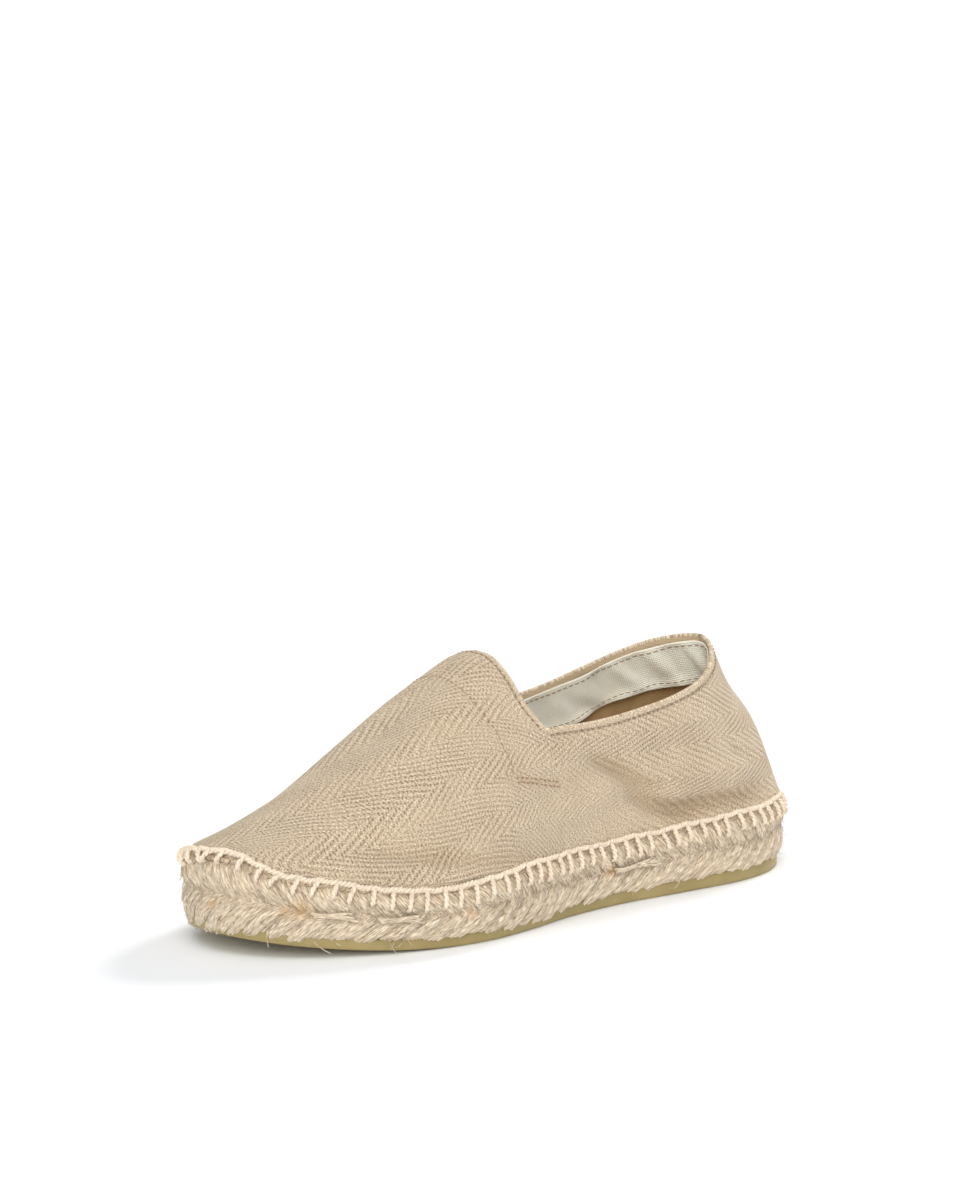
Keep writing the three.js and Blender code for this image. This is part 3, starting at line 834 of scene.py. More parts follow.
# Creases of the outer side: the path as X and Z, then how deep and how wide (a negative depth stands out)
CREASES = [
    ([(120, 56), (109, 51.3), (99.5, 46.6), (87.8, 41.6), (80, 39)], 3.8, 3.4),
    ([(104, 42), (96.6, 38.6), (87, 34.1), (74.5, 30.7), (59.4, 31.8), (45.4, 32.2), (25.8, 30.7)], 5.2, 3.6),
    ([(82, 47), (69, 45), (60, 42), (50, 40)], -2.6, 6),
    ([(36, 41), (44, 40), (52, 38.5)], -1.4, 5),
    ([(106, 42), (115, 41), (130, 38), (142, 36)], -1.8, 6),
    ([(222, 35), (207, 33.7), (190, 30.4), (171, 27), (150, 27)], 2.2, 3),
    ([(48, 52), (40, 47), (30, 44)], 1.4, 3),
    ([(96, 60), (84, 56), (70, 56), (58, 60)], 1.0, 4),
]

HUMP = 1.4  # how far the back stands out at HUMP_HEIGHT
HUMP_HEIGHT = 60


def crease_depth(points):
    """How far the cloth is pushed in at each point by the creases of the outer side."""
    depth = np.zeros(len(points))
    outer = smoothstep(points[:, 1], 4, 12)
    for path, deep, wide in CREASES:
        path = np.array(path, float)
        share = np.linspace(0, 1, 60)
        line = smooth_through(knots_of(path), path)(share * knots_of(path)[-1])
        apart = np.linalg.norm(points[:, None, [0, 2]] - line[None], axis=2)
        nearest = apart.argmin(1)
        fade = np.sin(np.pi * np.clip(share[nearest], 0.02, 0.98)) ** 0.6
        depth += deep * fade * np.exp(-((apart[np.arange(len(points)), nearest] / wide) ** 2))
    slack = 0.22 * np.sin(points[:, 0] * 0.11 + points[:, 2] * 0.16) + 0.16 * np.sin(
        points[:, 0] * 0.07 - points[:, 1] * 0.19 + 2
    )
    hump = HUMP * np.exp(-(((points[:, 2] - HUMP_HEIGHT) / 13) ** 2)) * smoothstep(-points[:, 0], -26, -6)
    return depth * outer + slack - hump


def upper_sheet():
    """The canvas: its outer points, triangles, cloth coordinates, and the grids of point numbers."""
    outline_sides = sides(CANVAS)
    q = np.linspace(0, 1, VAMP_SECTIONS + 1)
    outer, inner = (vamp_side(q, half) for half in outline_sides)
    vamp = np.concatenate([outer, inner[:, -2::-1]], axis=1)
    rows = vamp.shape[1]
    numbers = np.arange(vamp.shape[0] * rows).reshape(vamp.shape[:2])
    # At the toe's tip the two sides meet: the skirt's rows are shared, and the rest is one point
    tip = numbers[-1, : SKIRT_ROWS + 1]
    numbers[-1] = tip[-1]
    numbers[-1, : SKIRT_ROWS + 1] = tip
    numbers[-1, rows - SKIRT_ROWS - 1 :] = tip[::-1]
    collars = collar_curves()
    ribs, stations = zip(*(
        quarter_side(half, collar, throat, sign)
        for half, collar, throat, sign in zip(outline_sides, collars, (vamp[0], vamp[0, ::-1]), (1, -1))
    ))
    quarter = np.concatenate([ribs[0], ribs[1][-2::-1]])
    on_quarter = np.concatenate([stations[0], stations[1][-2::-1]])[:, None]
    height = quarter.shape[1]
    quarter_numbers = numbers.size + np.arange(quarter.shape[0] * height).reshape(quarter.shape[:2])
    quarter_numbers[0] = numbers[0, :height]
    quarter_numbers[-1] = numbers[0, ::-1][:height]
    points = np.concatenate([vamp.reshape(-1, 3), quarter.reshape(-1, 3)])
    faces = np.concatenate([triangles_of(numbers), triangles_of(quarter_numbers[::-1])])[:, [0, 2, 1]]
    cloth = np.concatenate([vamp_cloth(vamp).reshape(-1, 3), quarter_cloth(quarter, vamp).reshape(-1, 3)])
    # Above the skirt these are the wall's inner points, and the wall stands outside them: level at
    # the edge band, square to the cloth further up
    above = np.zeros(len(points))
    above[numbers] = above_band(vamp)
    above[quarter_numbers] = above_band(quarter, False)
    above[tip] = np.minimum(np.arange(len(tip)) - SKIRT_ROWS, 0)
    normals = normals_of(points, faces)
    level = unit(normals * (1, 1, 0))
    turned = smoothstep(above, 0, TURN)[:, None]
    wall = np.where(above < 0, SKIRT_WALL, lerp(SKIRT_WALL, WALL, turned[:, 0]))
    points = points + unit(lerp(level, normals, turned)) * np.where(above < 0, 0, WALL)[:, None]
    # Each stitch presses the cloth above it
    station = np.zeros(len(points))
    x = lerp(THROAT, TOE_X, np.sin(q * math.pi / 2))
    for half, part in zip(outline_sides, (numbers[:, : rows // 2], numbers[:, : rows // 2 : -1])):
        station[part] = side_at(half, x)[1][:, None]
    station[quarter_numbers] = on_quarter
    fade = np.where(above < 0, 0, 1 - smoothstep(above, 0, PUCKER_HEIGHT))
    pucker = PUCKER * (0.5 - stitch_press(station)) * fade
    points = points + normals * pucker[:, None]
    return points, faces, cloth, numbers, quarter_numbers, wall


def above_band(grid, both_ends=True):
    """How far each point of a grid's rows lies above the edge band, along the cloth; -1 on the skirt."""
    run = lengths_along(grid, 1)
    height = run - run[:, SKIRT_ROWS : SKIRT_ROWS + 1]
    if both_ends:
        last = grid.shape[1] - 1 - SKIRT_ROWS
        height = np.minimum(height, run[:, last : last + 1] - run)
    return np.where(height < -1e-6, -1, height)


def skirt_numbers(vamp, quarter):
    """The numbers of the points below the edge band's top."""
    ends = [vamp[:, :SKIRT_ROWS], vamp[:, -SKIRT_ROWS:], quarter[:, :SKIRT_ROWS]]
    return np.concatenate([end.ravel() for end in ends])


FAR = 50  # from any rim, in millimetres


def vamp_cloth(vamp):
    """Cloth coordinates on the vamp: millimetres across the stripes and along them."""
    across = lengths_along(vamp, 1)
    middle = SKIRT_ROWS + HALF_ROWS
    across = across[:, middle : middle + 1] - across
    along = lengths_along(vamp, 0)
    x = vamp[..., 0]
    share = smoothstep(across, -50, 10)
    ahead = BEND_TOE * smoothstep(x, *BEND_TOE_SPAN)
    bend = BEND * (x - BEND_FROM) - BEND_BACK - ahead * smoothstep(across, 12, 40)
    row = np.arange(vamp.shape[1])
    on_throat = smoothstep(np.minimum(row, row[::-1]), SKIRT_ROWS + CORNER - 1, SKIRT_ROWS + CORNER)
    from_rim = lerp(FAR, along, on_throat[None, :])
    return np.stack([across + share * bend, along, from_rim], axis=-1)


def quarter_cloth(quarter, vamp):
    """Cloth coordinates on the quarter, which carry on from the throat's section on both sides."""
    throat_u = vamp_cloth(vamp)[0, :, 0]
    height = quarter.shape[1]
    half = len(quarter) // 2
    run = lengths_along(quarter, 0)
    first = throat_u[:height] + (quarter[0, :, 2] - quarter[..., 2]) * CLOTH_PER_HEIGHT
    last = throat_u[::-1][:height] - (quarter[-1, :, 2] - quarter[..., 2]) * CLOTH_PER_HEIGHT
    outer = (np.arange(len(quarter)) <= half)[:, None]
    u = np.where(outer, first, last)
    v = -np.where(outer, run, run[-1] - run)
    from_rim = lengths_along(quarter[:, ::-1], 1)[:, ::-1]
    return np.stack([u, v, from_rim], axis=-1)


def open_edges(faces):
    """The directed edges that only one face has, and that face's number."""
    edges = np.concatenate([faces[:, [0, 1]], faces[:, [1, 2]], faces[:, [2, 0]]])
    owner = np.tile(np.arange(len(faces)), 3)
    key = edges[:, 0].astype(np.int64) * (faces.max() + 1) + edges[:, 1]
    back = edges[:, 1].astype(np.int64) * (faces.max() + 1) + edges[:, 0]
    alone = ~np.isin(back, key)
    return edges[alone], owner[alone]


def walled(points, faces, cloth, wall, rim_steps=4):
    """A sheet's wall with round rims: points, triangles, cloth and each triangle's side (1 inside)."""
    normals = normals_of(points, faces)
    wall = np.broadcast_to(wall, len(points))[:, None]
    edges, owner = open_edges(faces)
    corners = points[faces[owner]]
    flat = unit(np.cross(corners[:, 1] - corners[:, 0], corners[:, 2] - corners[:, 0]))
    away = np.cross(unit(points[edges[:, 1]] - points[edges[:, 0]]), flat)
    outwards = np.zeros_like(points)
    np.add.at(outwards, edges[:, 0], away)
    np.add.at(outwards, edges[:, 1], away)
    outwards = unit(outwards)
    count = len(points)
    rim = np.unique(edges)
    slot = np.full(count, -1)
    slot[rim] = np.arange(len(rim))
    middle = points[rim] - normals[rim] * wall[rim] / 2
    layers = [points, points - normals * wall]
    for k in range(1, rim_steps):
        turn = math.pi * k / rim_steps
        way = normals[rim] * math.cos(turn) + outwards[rim] * math.sin(turn)
        layers.append(middle + way * wall[rim] / 2)
    a, b = edges.T
    base = 2 * count + np.arange(rim_steps - 1)[:, None] * len(rim)
    line_a = np.vstack([a[None], base + slot[a][None], a[None] + count])
    line_b = np.vstack([b[None], base + slot[b][None], b[None] + count])
    strips = [
        np.concatenate([np.stack([b0, a0, a1], -1), np.stack([b0, a1, b1], -1)])
        for a0, a1, b0, b1 in zip(line_a[:-1], line_a[1:], line_b[:-1], line_b[1:])
    ]
    triangles = np.concatenate([faces, faces[:, [0, 2, 1]] + count, *strips])
    side = np.concatenate([np.zeros(len(faces)), np.ones(len(faces)), np.zeros(sum(map(len, strips)))])
    rows = np.concatenate([cloth, cloth] + [cloth[rim]] * (rim_steps - 1))
    return np.vstack(layers), triangles, rows, side


class Upper:
    """The canvas sheet with its creases, and ways to find places on it."""

    def __init__(self):
        points, self.faces, self.cloth, self.vamp, self.quarter, self.wall = upper_sheet()
        depth = crease_depth(points)
        depth[skirt_numbers(self.vamp, self.quarter)] = 0
        self.depth = depth
        self.points = points - normals_of(points, self.faces) * depth[:, None]
        self.normals = normals_of(self.points, self.faces)
        self.tree = BVHTree.FromPolygons(self.points.tolist(), self.faces.tolist())

    def nearest(self, places):
        """The surface's points and normals nearest to the given places."""
        found = [self.tree.find_nearest(Vector(place)) for place in places]
        return np.array([hit[0] for hit in found]), np.array([hit[1] for hit in found])

    def at_depth(self, grid, depth):
        """Points and normals at a distance along each line of a grid of point numbers."""
        found = []
        for run, line in zip(lengths_along(self.points[grid], 1), grid):
            columns = np.concatenate([self.points[line], self.normals[line]], axis=1)
            found.append([np.interp(depth, run, column) for column in columns.T])
        found = np.array(found)
        return found[:, :3], unit(found[:, 3:])

    def below_rim(self, depth):
        """Points and normals on the quarter at a distance below the collar's rim, for each rib."""
        return self.at_depth(self.quarter[:, ::-1], depth)

    def ahead_of_throat(self, depth):
        """Points and normals on the vamp at a distance ahead of the throat's edge, from corner to corner."""
        first = SKIRT_ROWS + CORNER
        return self.at_depth(self.vamp[:THROAT_LINES, first : self.vamp.shape[1] - first].T, depth)


def running_stitch(path, normals, length, gap, radius):
    """Short stitches along a line on the cloth, each dipping in at its ends."""
    run = lengths_along(path)
    starts = np.arange(gap, run[-1] - length, length + gap)
    share = np.linspace(0, 1, 6)
    at = starts[:, None] + share[None, :] * length
    place = np.stack([np.interp(at, run, column) for column in path.T], axis=-1)
    lift = unit(np.stack([np.interp(at, run, column) for column in normals.T], axis=-1))
    arch = radius * (1.3 * np.sin(np.pi * share) - 0.5)
    return tubes(place + lift * arch[None, :, None], radius, 6, lift)


def smooth_path(points):
    """A smooth line through a few points, with points about a millimetre apart."""
    points = np.array(points, float)
    knots = knots_of(points)
    fine = smooth_through(knots, points)(np.linspace(0, knots[-1], 200))
    run = lengths_along(fine)
    goal = np.linspace(0, run[-1], int(run[-1]) + 2)
    return np.column_stack([np.interp(goal, run, column) for column in fine.T])


# The hem's stitch line on the vamp, and the two rows of the bar tack beside the throat's corner
HEM_LINE = [
    (160.3, 1.7, 84.6),
    (161, 10.7, 82.5),
    (159.9, 17, 78.6),
    (157.7, 21.8, 73),
    (156, 26.7, 67.4),
    (155.5, 30.3, 62.2),
    (154.8, 33.2, 56.9),
    (155.1, 35.1, 52.6),
]
BAR_TACK = [(155.3, 35.4, 52), (148.5, 35.5, 50.9), (141.4, 35.3, 49.3), (133.5, 35, 47.6)]
TACK_ROWS = (-0.9, 0.9)


def mirrored(path):
    """The same line on the inner side, from the ridge down."""
    return [(x, -y, z) for x, y, z in path[::-1]]


LINING_FOOT = 37  # the height where the inside's own look starts


def upper_piece(upper, canvas, lining):
    points, triangles, cloth, side = walled(upper.points, upper.faces, upper.cloth, upper.wall)
    # The lowest part of the inside has the outside's cloth: it shows at the toe between the stitches
    side[points[triangles].mean(axis=1)[:, 2] < LINING_FOOT] = 0
    # The creases' depth, which the canvas uses for painted shade in the creases
    folds = walled(upper.points, upper.faces, upper.depth[:, None] * (1, 0, 0), upper.wall)[2]
    piece = mesh_piece("canvas_upper", points, triangles, [canvas, lining], side, cloth=cloth, folds=folds)
    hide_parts("upper")


def stitch_rows(upper, thread):
    parts = []
    # The rows below the rim and ahead of the throat: short dark stitches with gaps, partly the real thread
    # and partly painted shade of the needle dips
    for line in (upper.below_rim(HEM_WIDTH), upper.ahead_of_throat(HEM_WIDTH)):
        parts.append(running_stitch(*line, length=1.1, gap=1.5, radius=0.2))
    hem = smooth_path(mirrored(HEM_LINE) + HEM_LINE)
    parts.append(running_stitch(*upper.nearest(hem), length=2.0, gap=0.5, radius=0.16))
    for tack in (BAR_TACK, mirrored(BAR_TACK)):
        for shift in TACK_ROWS:
            row = smooth_path([(x, y, z + shift) for x, y, z in tack])
            parts.append(running_stitch(*upper.nearest(row), length=1.5, gap=0.6, radius=0.26))
    points, triangles, yarn = joined(*parts)
    piece = mesh_piece("seam_thread", points, triangles, [thread], yarn=yarn)


# The cotton tape inside the collar: distance of its two edges below the rim, and its thickness
TAPE_TOP = 1.9
TAPE_WIDTH = 16
TAPE_THICKNESS = 0.5


def tape_points(upper, share, lift):
    """Places on the tape's face across its width, and the directions into the shoe."""
    rows, ways = [], []
    for s in share:
        place, normal = upper.below_rim(TAPE_TOP + s * TAPE_WIDTH)
        rows.append(place - normal * (WALL + lift))
        ways.append(-normal)
    return np.stack(rows, axis=1), np.stack(ways, axis=1)


def lining_tape(upper, tape, thread):
    share = np.linspace(0, 1, 22)
    places, ways = tape_points(upper, share, TAPE_THICKNESS)
    run = lengths_along(places[:, 0])
    length = run[-1]
    s, t = np.meshgrid(run, share, indexing="ij")
    inner = length - s
    # Wrinkles: soft folds across the tape, a small bump and a wavy lower edge
    fold = lerp(1.6, 0.9, smoothstep(inner, 90, 60)) * np.sin(s * 0.42 + 3 * t) * np.sin(np.pi * t)
    fold = fold + 0.5 * np.sin(s * 0.19 + 1.3 - 2 * t)
    bump = 1.3 * np.exp(-(((inner - 33) / 3.2) ** 2 + ((t - 0.5) / 0.2) ** 2))
    crease = 1.2 * np.exp(-(((inner - 58 - 14 * t) / 4) ** 2)) * np.sin(np.pi * t)
    hang = 2.2 * t**1.5 + 0.8 * smoothstep(t, 0.75, 1) * (1 + np.sin(s * 0.3) * 0.6)
    ways = unit(ways)
    lift = 0.15 + np.maximum(fold + 0.35, 0) + bump + crease + hang
    points = places + ways * lift[..., None]
    points[..., 2] += t * 0.7 * np.sin(s * 0.13 + 0.6) + 2.2 * t * smoothstep(inner, 55, 30)
    numbers = np.arange(s.size).reshape(s.shape)
    cloth = np.stack([t * TAPE_WIDTH, s, np.zeros_like(s)], axis=-1).reshape(-1, 3)
    faces = triangles_of(numbers)
    if np.einsum("ij,ij->", normals_of(points.reshape(-1, 3), faces), ways.reshape(-1, 3)) < 0:
        faces = faces[:, [0, 2, 1]]
    solid = walled(points.reshape(-1, 3), faces, cloth, TAPE_THICKNESS, 3)
    piece = mesh_piece("lining_tape", *solid[:2], [tape], cloth=solid[2])
    rows = []
    for k in (2, len(share) - 3):
        rows.append(running_stitch(points[:, k], ways[:, k], length=2.2, gap=0.5, radius=0.17))
    points, triangles, yarn = joined(*rows)
    mesh_piece("tape_thread", points, triangles, [thread], yarn=yarn)


# How far a hand stitch's foot lies towards the toe from its head, and its reach below the edge
STITCH_LEAN = [(0, -1.6), (0.25, -1.5), (0.45, -0.3), (0.65, 0.6), (0.85, 1.6), (1, 2.4)]
STITCH_REACH = [(0, -5.6), (0.5, -5.4), (0.8, -5.0), (0.92, -4.0), (1, -3.4)]
SEAM_HEIGHT = 1.7  # the top thread's middle above the sole's edge

# A hand stitch: share of its length, how far outwards, and share of its way down
STITCH_FORM = [
    (0, 0.1, 0.03),
    (0.1, 0.9, 0.02),
    (0.25, 1.6, 0.1),
    (0.45, 2.6, 0.3),
    (0.7, 3.1, 0.6),
    (0.9, 2.9, 0.88),
    (1, 0.8, 1.0),
]


def seam_height(run):
    return SEAM_HEIGHT + 0.22 * np.sin(run * 0.23) + 0.18 * np.sin(run * 0.71 + 2)


def hand_stitches(thread):
    """The thread along the seam and the stitches that hold the canvas to the jute."""
    pitch = AROUND / STITCHES
    around = np.linspace(0, AROUND, STITCHES * 14 + 1)
    sag = 0.25 * np.sin(np.pi * np.mod(around / pitch, 1)) ** 2
    line = edge_point(around, seam_height(around) - sag, 0.35 + 0.2 * np.cos(2 * math.pi * around / pitch))
    twin = plies(line[None], outward_at(around)[None], 3.1, THREAD_RADIUS * 0.9)
    parts = []
    for k, path in enumerate(twin):
        parts.append(tubes(path, THREAD_RADIUS * 1.15, 6, outward_at(around)[None], tone=k))
    start = (np.arange(STITCHES) + RANDOM.uniform(-0.1, 0.1, STITCHES)) * pitch
    x = on_rail(station_of(start), RUBBER)[:, 0] / LENGTH
    lean = table(STITCH_LEAN, 1)(x) + RANDOM.normal(0, 0.45, STITCHES)
    reach = table(STITCH_REACH, 1)(x) + RANDOM.normal(0, 0.45, STITCHES)
    share = np.linspace(0, 1, 14)
    # From behind the top thread over it, down over the cloth's edge and into the jute
    out, down = (table(STITCH_FORM, column)(share) for column in (1, 2))
    sideways = np.where(start < AROUND / 2, 1, -1)[:, None] * lean[:, None] * smoothstep(share)[None, :]
    run = start[:, None] + sideways
    top = seam_height(start)[:, None]
    above = top + (reach[:, None] - top) * down[None, :]
    paths = edge_point(run, above, np.broadcast_to(out, run.shape))
    outward = outward_at(run)
    for k, path in enumerate(plies(paths, outward, 3.4, THREAD_RADIUS * 0.8, 0.7)):
        parts.append(tubes(path, THREAD_RADIUS, 6, outward))
    points, triangles, yarn = joined(*parts)
    piece = mesh_piece("hand_stitches", points, triangles, [thread], yarn=yarn)


def strand_row(start, end, begin_lean, end_lean, bend, dip):
    """Yarn paths for one row of the braid: from one share of the height to another."""
    pitch = AROUND / STRANDS
    share = np.linspace(0, 1, 13)
    strand, yarn = np.meshgrid(np.arange(STRANDS), np.arange(YARNS), indexing="ij")
    strand, yarn = strand.ravel(), yarn.ravel()
    side = (yarn + 0.5) / YARNS - 0.5
    wobble = RANDOM.normal(0, 0.3, STRANDS)[strand]
    foot = (strand + 0.5 + side * 0.96) * pitch + wobble + RANDOM.normal(0, 0.16, strand.size)
    lean = lerp(begin_lean, end_lean, share[None, :] ** bend)
    lean = lean * (1 + RANDOM.normal(0, 0.06, strand.size)[:, None])
    run = foot[:, None] + lean
    # At the toe the strands hang lower over the rubber
    toe = smoothstep(on_rail(station_of(run), RUBBER)[..., 0] / LENGTH, 0.86, 1)
    wave = 0.035 * np.sin(strand * 1.9) + RANDOM.normal(0, 0.014, strand.size)
    tip = np.exp(-(((run - AROUND / 2 - 14) / 13) ** 2))
    waist = np.exp(-(((run - AROUND / 2 + 130) / 24) ** 2))
    low = end - 0.11 * toe - 0.09 * tip - 0.12 * waist if end < 0.2 else end
    up = lerp(start, low + wave[:, None], share[None, :])
    crown = 1.5 * np.cos(np.pi * side)[:, None] - 0.85
    belly = np.sin(np.pi * share)[None, :] ** 0.5
    out = JUTE_OVERHANG * strand_out(up) - YARN_RADIUS * 0.75 + crown * belly
    out = out - dip * (1 - belly) - 0.2 * toe + RANDOM.normal(0, 0.12, strand.size)[:, None]
    paths = jute_point(run, up, out)
    thick = YARN_RADIUS * (0.72 + 0.34 * belly) * (1 + RANDOM.normal(0, 0.09, strand.size)[:, None])
    return paths, thick, outward_at(run)


# Brown places on the jute: distance from the toe's tip, share of the height, and radius
STAINS = [
    (-35, 0.5, 4.5),
    (-30, 0.42, 3),
    (-172, 0.5, 3.5),
    (-3, 0.3, 2.5),
    (-95, 0.45, 2.5),
    (128, 0.4, 3.5),
]


def stain_places():
    """Each stain's middle in metres, and its radius."""
    return [(metres(jute_point(AROUND / 2 + ahead, up, JUTE_OVERHANG)), reach) for ahead, up, reach in STAINS]


# Yarns that lie level along the braid: where they start from the toe's tip, how long, and how high
LEVEL_YARNS = [(-53, 14, 0.43), (-76, 15, 0.42), (-196, 22, 0.5), (150, 18, 0.45)]

# The jute's closed inside: share of the height, and how far it lies behind the side
CORE = [(0, 1.7), (0.08, 1.2), (0.3, 0.95), (0.5, 1.2), (0.7, 0.95), (0.92, 1.3), (1, 1.9)]


def closed_slab(rings):
    """Points and triangles of a closed slab, from rings round the outline, lowest first."""
    count = len(rings[0])
    points = np.concatenate(rings)
    numbers = np.arange(len(points)).reshape(len(rings), count)
    wrapped = np.concatenate([numbers, numbers[:, :1]], axis=1)
    faces = [triangles_of(wrapped.T)]
    half = count // 2
    for ring, up in ((numbers[0], False), (numbers[-1], True)):
        lines = np.stack([ring[: half + 1], np.concatenate([ring[:1], ring[half:][::-1]])])
        cap = triangles_of(lines)
        faces.append(cap[:, [0, 2, 1]] if up else cap)
    return points, np.concatenate(faces)


def jute_core():
    """The closed inside of the jute sole, just behind its yarns."""
    run = np.linspace(0, AROUND, CORE_STEPS + 1)[:-1]
    rings = [jute_point(run, np.full(len(run), up), JUTE_OVERHANG * jute_out(up) - back) for up, back in CORE]
    points, faces = closed_slab(rings)
    yarn = np.column_stack([points[:, 2] * 2, np.tile(run, len(rings)), np.zeros(len(points))])
    return points, faces, yarn


def jute_sole(jute):
    upper_row = strand_row(start=1.1, end=0.42, begin_lean=0.0, end_lean=-9.5, bend=1.7, dip=1.2)
    lower_row = strand_row(start=0.52, end=-0.05, begin_lean=-11.0, end_lean=4.5, bend=0.8, dip=1.0)
    parts = [jute_core()]
    for ahead, stretch, height in LEVEL_YARNS:
        share = np.linspace(0, 1, 40)
        for side in (-1, 0, 1):
            run = AROUND / 2 + ahead + share * stretch + side
            up = height + 0.04 * side + 0.035 * np.sin(share * 5 + side)
            out = JUTE_OVERHANG + 0.5 + 0.5 * np.sin(np.pi * share)
            path = jute_point(run, up, out)[None]
            parts.append(tubes(path, 0.75 - 0.15 * abs(side), 7, outward_at(run)[None], flatten=0.8))
    for paths, thick, outward in (upper_row, lower_row):
        parts.append(tubes(paths, thick, 7, outward, flatten=0.9))
    # Two yarns behind the stitches close the gap under the raised seam at the toe
    run = AROUND / 2 + np.linspace(-34, 30, 90)
    behind = 1.6 * (1 - smoothstep(toe_rise(run), 0.2, 1.2))
    for drop, back in ((0.9, 0.9), (2.6, 0.7)):
        above = seam_height(run) - drop + 0.25 * np.sin(run * 1.3 + drop)
        path = edge_point(run, above, -back - behind)[None]
        parts.append(tubes(path, 1.05, 7, outward_at(run)[None], flatten=0.8))
    points, triangles, yarn = joined(*parts)
    piece = mesh_piece("jute_sole", points, triangles, [jute], yarn=yarn)
    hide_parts("midsole")


# Long fibres: where they start and end from the toe's tip, and the shares of the height there
LONG_FIBRES = [
    (-24, -24.6, 0.05, -0.27),
    (-39, -45, -0.06, -0.3),
    (-44, -48, 0.04, -0.14),
    (-64, -67, 0.04, -0.32),
    (-66, -64.5, 0.02, -0.2),
    (-206, -203, 0.1, -0.12),
    (-238, -246, 0.72, 0.8),
    (-240, -247, 0.7, 0.68),
]


def loose_fibres(jute):
    """Hairs that stand off the jute, and a few long ones."""
    count = HAIRS
    run = RANDOM.uniform(0, AROUND, count)
    up = RANDOM.beta(1.2, 1.4, count)
    length = RANDOM.gamma(3.0, 1.3, count)
    angle = np.where(up > 0.5, RANDOM.normal(-2.2, 0.5, count), RANDOM.normal(-0.75, 0.5, count))
    share = np.linspace(0, 1, 6)
    drift = (np.cos(angle) * length)[:, None] * share
    drop = (np.sin(angle) * length)[:, None] * share / 19
    lift = RANDOM.uniform(0.1, 0.75, count)[:, None] * share**1.5 * length[:, None] * 0.5
    path_run = run[:, None] + drift + RANDOM.normal(0, 0.25, (count, 6)) * share
    path_up = np.clip(up[:, None] + drop, -0.16, 0.9)
    out = JUTE_OVERHANG * jute_out(np.clip(path_up, 0, 1)) + 0.1 + lift
    paths = jute_point(path_run, path_up, out)
    parts = [tubes(paths, RANDOM.uniform(0.05, 0.1, count)[:, None], 3, outward_at(path_run))]
    for start, end, top, foot in LONG_FIBRES:
        share = np.linspace(0, 1, 12)
        run = AROUND / 2 + lerp(start, end, share**1.6)
        path = jute_point(run, lerp(top, foot, share), 1.6 + 1.2 * np.sin(2.6 * share))[None]
        parts.append(tubes(path, 0.12, 5, outward_at(run)[None]))
    points, triangles, yarn = joined(*parts)
    piece = mesh_piece("jute_fibres", points, triangles, [jute], yarn=yarn)


def slab_piece(name, rings, material):
    points, faces = closed_slab(rings)
    flat = np.column_stack([points[:, 1], points[:, 0], np.zeros(len(points))])
    return mesh_piece(name, points, faces, [material], cloth=flat)


# The rubber's side below its top: how far outwards, and height above the underside
RUBBER_SIDE = [(-0.9, 0.0), (-0.35, 0.15), (-0.08, 0.5), (0.0, 1.0)]

# The footbed's edge, lowest first: how far outwards from its place inside the upper, and height
# above the sole's edge
FOOTBED_EDGE = [(0.0, 0.3), (0.0, 1.3), (-0.5, 1.9), (-1.4, 2.15), (-2.6, 2.1)]
FOOTBED_GAP = 0.5  # to the upper, which grows by FOOTBED_TAPER towards the toe
FOOTBED_TAPER = 2.4


def rubber_sole(rubber):
    station = np.arange(0, COUNT, 2).astype(float)

    def ring(out, height):
        place = beside(station, np.full(len(station), out))
        return np.column_stack([place, height(place[:, 0])])

    rings = [ring(out, lambda x, up=up: spring_at(x) + up) for out, up in RUBBER_SIDE]
    rings.append(ring(0.0, lambda x: rubber_top_at(x) - 0.4))
    rings.append(ring(-0.35, rubber_top_at))
    piece = slab_piece("rubber_outsole", rings, rubber)
    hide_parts("outsole")


def footbed(cotton):
    station = np.arange(0, COUNT, 3).astype(float)
    inset = -UPPER_INSET - WALL - FOOTBED_GAP
    rings = []
    for out, up in FOOTBED_EDGE:
        x = beside(station, np.zeros(len(station)))[:, 0] / LENGTH
        place = beside(station, inset + out - FOOTBED_TAPER * x)
        rings.append(np.column_stack([place, edge_at(place[:, 0]) + up]))
    piece = slab_piece("cotton_footbed", rings, cotton)
    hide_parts("insole")


# The camera: its place round the shoe, and where the photo shows the point that it looks at
PHOTO_WIDTH, PHOTO_HEIGHT = 967, 1200
CAMERA_ANGLE = math.radians(41)  # from straight beside the shoe, towards its toe
CAMERA_RISE = math.radians(11)
CAMERA_DISTANCE = 1200
TARGET = (129, 0, 30)
TARGET_PIXEL = (505.26, 818.29)
FOCAL_PIXELS = 3338.4
SENSOR = 36


def camera():
    data = bpy.data.cameras.new("camera")
    data.sensor_width = SENSOR
    data.lens = FOCAL_PIXELS * SENSOR / PHOTO_HEIGHT
    data.shift_x = (PHOTO_WIDTH / 2 - TARGET_PIXEL[0]) / PHOTO_HEIGHT
    data.shift_y = (TARGET_PIXEL[1] - PHOTO_HEIGHT / 2) / PHOTO_HEIGHT
    data.clip_end = 30
    level = math.cos(CAMERA_RISE)
    back = Vector((math.sin(CAMERA_ANGLE) * level, math.cos(CAMERA_ANGLE) * level, math.sin(CAMERA_RISE)))
    holder = put("camera", data)
    holder.location = Vector(metres(np.array(TARGET, float))) + back * CAMERA_DISTANCE * MM
    holder.rotation_euler = (-back).to_track_quat("-Z", "Y").to_euler()
    bpy.context.scene.camera = holder


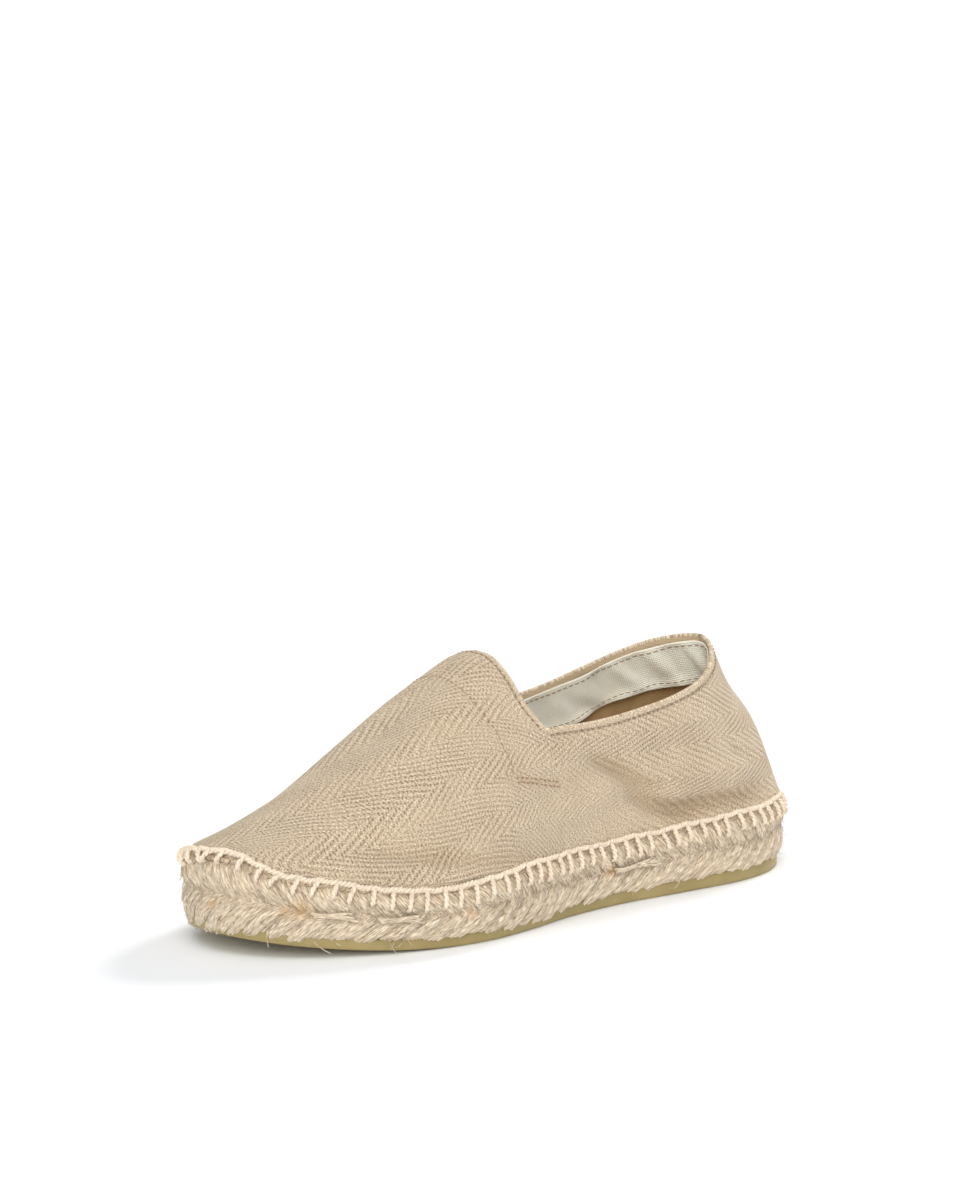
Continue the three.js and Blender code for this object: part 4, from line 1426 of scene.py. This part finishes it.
# The studio: a sky that is white near the horizon and dimmer overhead, and three wide soft suns
SKY_COLOUR = (0.975, 0.985, 1, 1)
SUN_COLOUR = (1, 0.985, 0.96)
SKY_LOW = 1.14
SKY_HIGH = 0.46
SKY_FADE = (0.08, 0.3)  # sines of the heights between which the sky dims
SUNS = [  # name, where it comes from, power, spread in degrees
    ("front", (0.7, 0.76, 0.45), 1.32, 30),
    ("over_heel", (-1.0, -0.25, 0.7), 1.5, 18),
    ("overhead", (0.4, 0.35, 1.0), 1.05, 40),
]


def studio():
    floor_finish = Finish("studio_floor", 0.9)
    floor_finish.colour((0.93, 0.95, 0.97, 1))
    mesh = bpy.data.meshes.new("studio_floor")
    reach = 8  # metres
    corners = [(-reach, -reach, 0), (reach, -reach, 0), (reach, reach, 0), (-reach, reach, 0)]
    mesh.from_pydata(corners, [], [(0, 1, 2, 3)])
    mesh.materials.append(floor_finish.material)
    floor = put("studio_floor", mesh)
    world = bpy.data.worlds.new("studio")
    world.use_nodes = True
    sky = world.node_tree
    where = sky.nodes.new("ShaderNodeTexCoord").outputs["Generated"]
    split = sky.nodes.new("ShaderNodeSeparateXYZ")
    sky.links.new(where, split.inputs[0])
    fade = sky.nodes.new("ShaderNodeMapRange")
    sky.links.new(split.outputs[2], fade.inputs[0])
    for socket, value in zip(fade.inputs[1:5], (*SKY_FADE, SKY_LOW, SKY_HIGH)):
        socket.default_value = value
    sky.nodes["Background"].inputs["Color"].default_value = SKY_COLOUR
    sky.links.new(fade.outputs[0], sky.nodes["Background"].inputs["Strength"])
    bpy.context.scene.world = world
    bpy.context.scene.view_settings.view_transform = "Standard"
    for name, place, power, spread in SUNS:
        sun = bpy.data.lights.new(name, "SUN")
        sun.energy = power
        sun.color = SUN_COLOUR
        sun.angle = math.radians(spread)
        put(name, sun).rotation_euler = Vector(place).to_track_quat("Z", "Y").to_euler()


def dress():
    canvas = canvas_finish()
    hem = tint(204, 182, 150)
    lining = plain_weave("canvas_inside", 0.9, tint(212, 180, 134), tint(172, 136, 92), hem=hem)
    cotton = plain_weave("cotton_tape", 0.7, tint(255, 254, 243), tint(238, 231, 210), 0.3)
    sock = plain_weave("footbed_cotton", 0.9, tint(204, 188, 158), tint(172, 156, 126))
    cream = [tint(248, 234, 214), tint(238, 221, 198), tint(204, 184, 158), tint(216, 196, 168)]
    brown = [tint(172, 138, 106), tint(152, 118, 88), tint(126, 94, 66), tint(132, 100, 72)]
    straw = [tint(250, 235, 211), tint(231, 212, 182), tint(140, 115, 82), tint(210, 164, 104)]
    thread = yarn_finish("cotton_thread", *cream, 0.85, 0.16, 3)
    sewing = yarn_finish("sewing_thread", *brown, 0.8, 0.05, 5)
    jute = yarn_finish("jute_yarn", *straw, 0.85, 0.45, 3.4, stain_places())
    upper = Upper()
    upper_piece(upper, canvas, lining)
    stitch_rows(upper, sewing)
    lining_tape(upper, cotton, sewing)
    hand_stitches(thread)
    jute_sole(jute)
    loose_fibres(jute)
    rubber_sole(rubber_finish())
    footbed(sock)


camera()
dress()
studio()
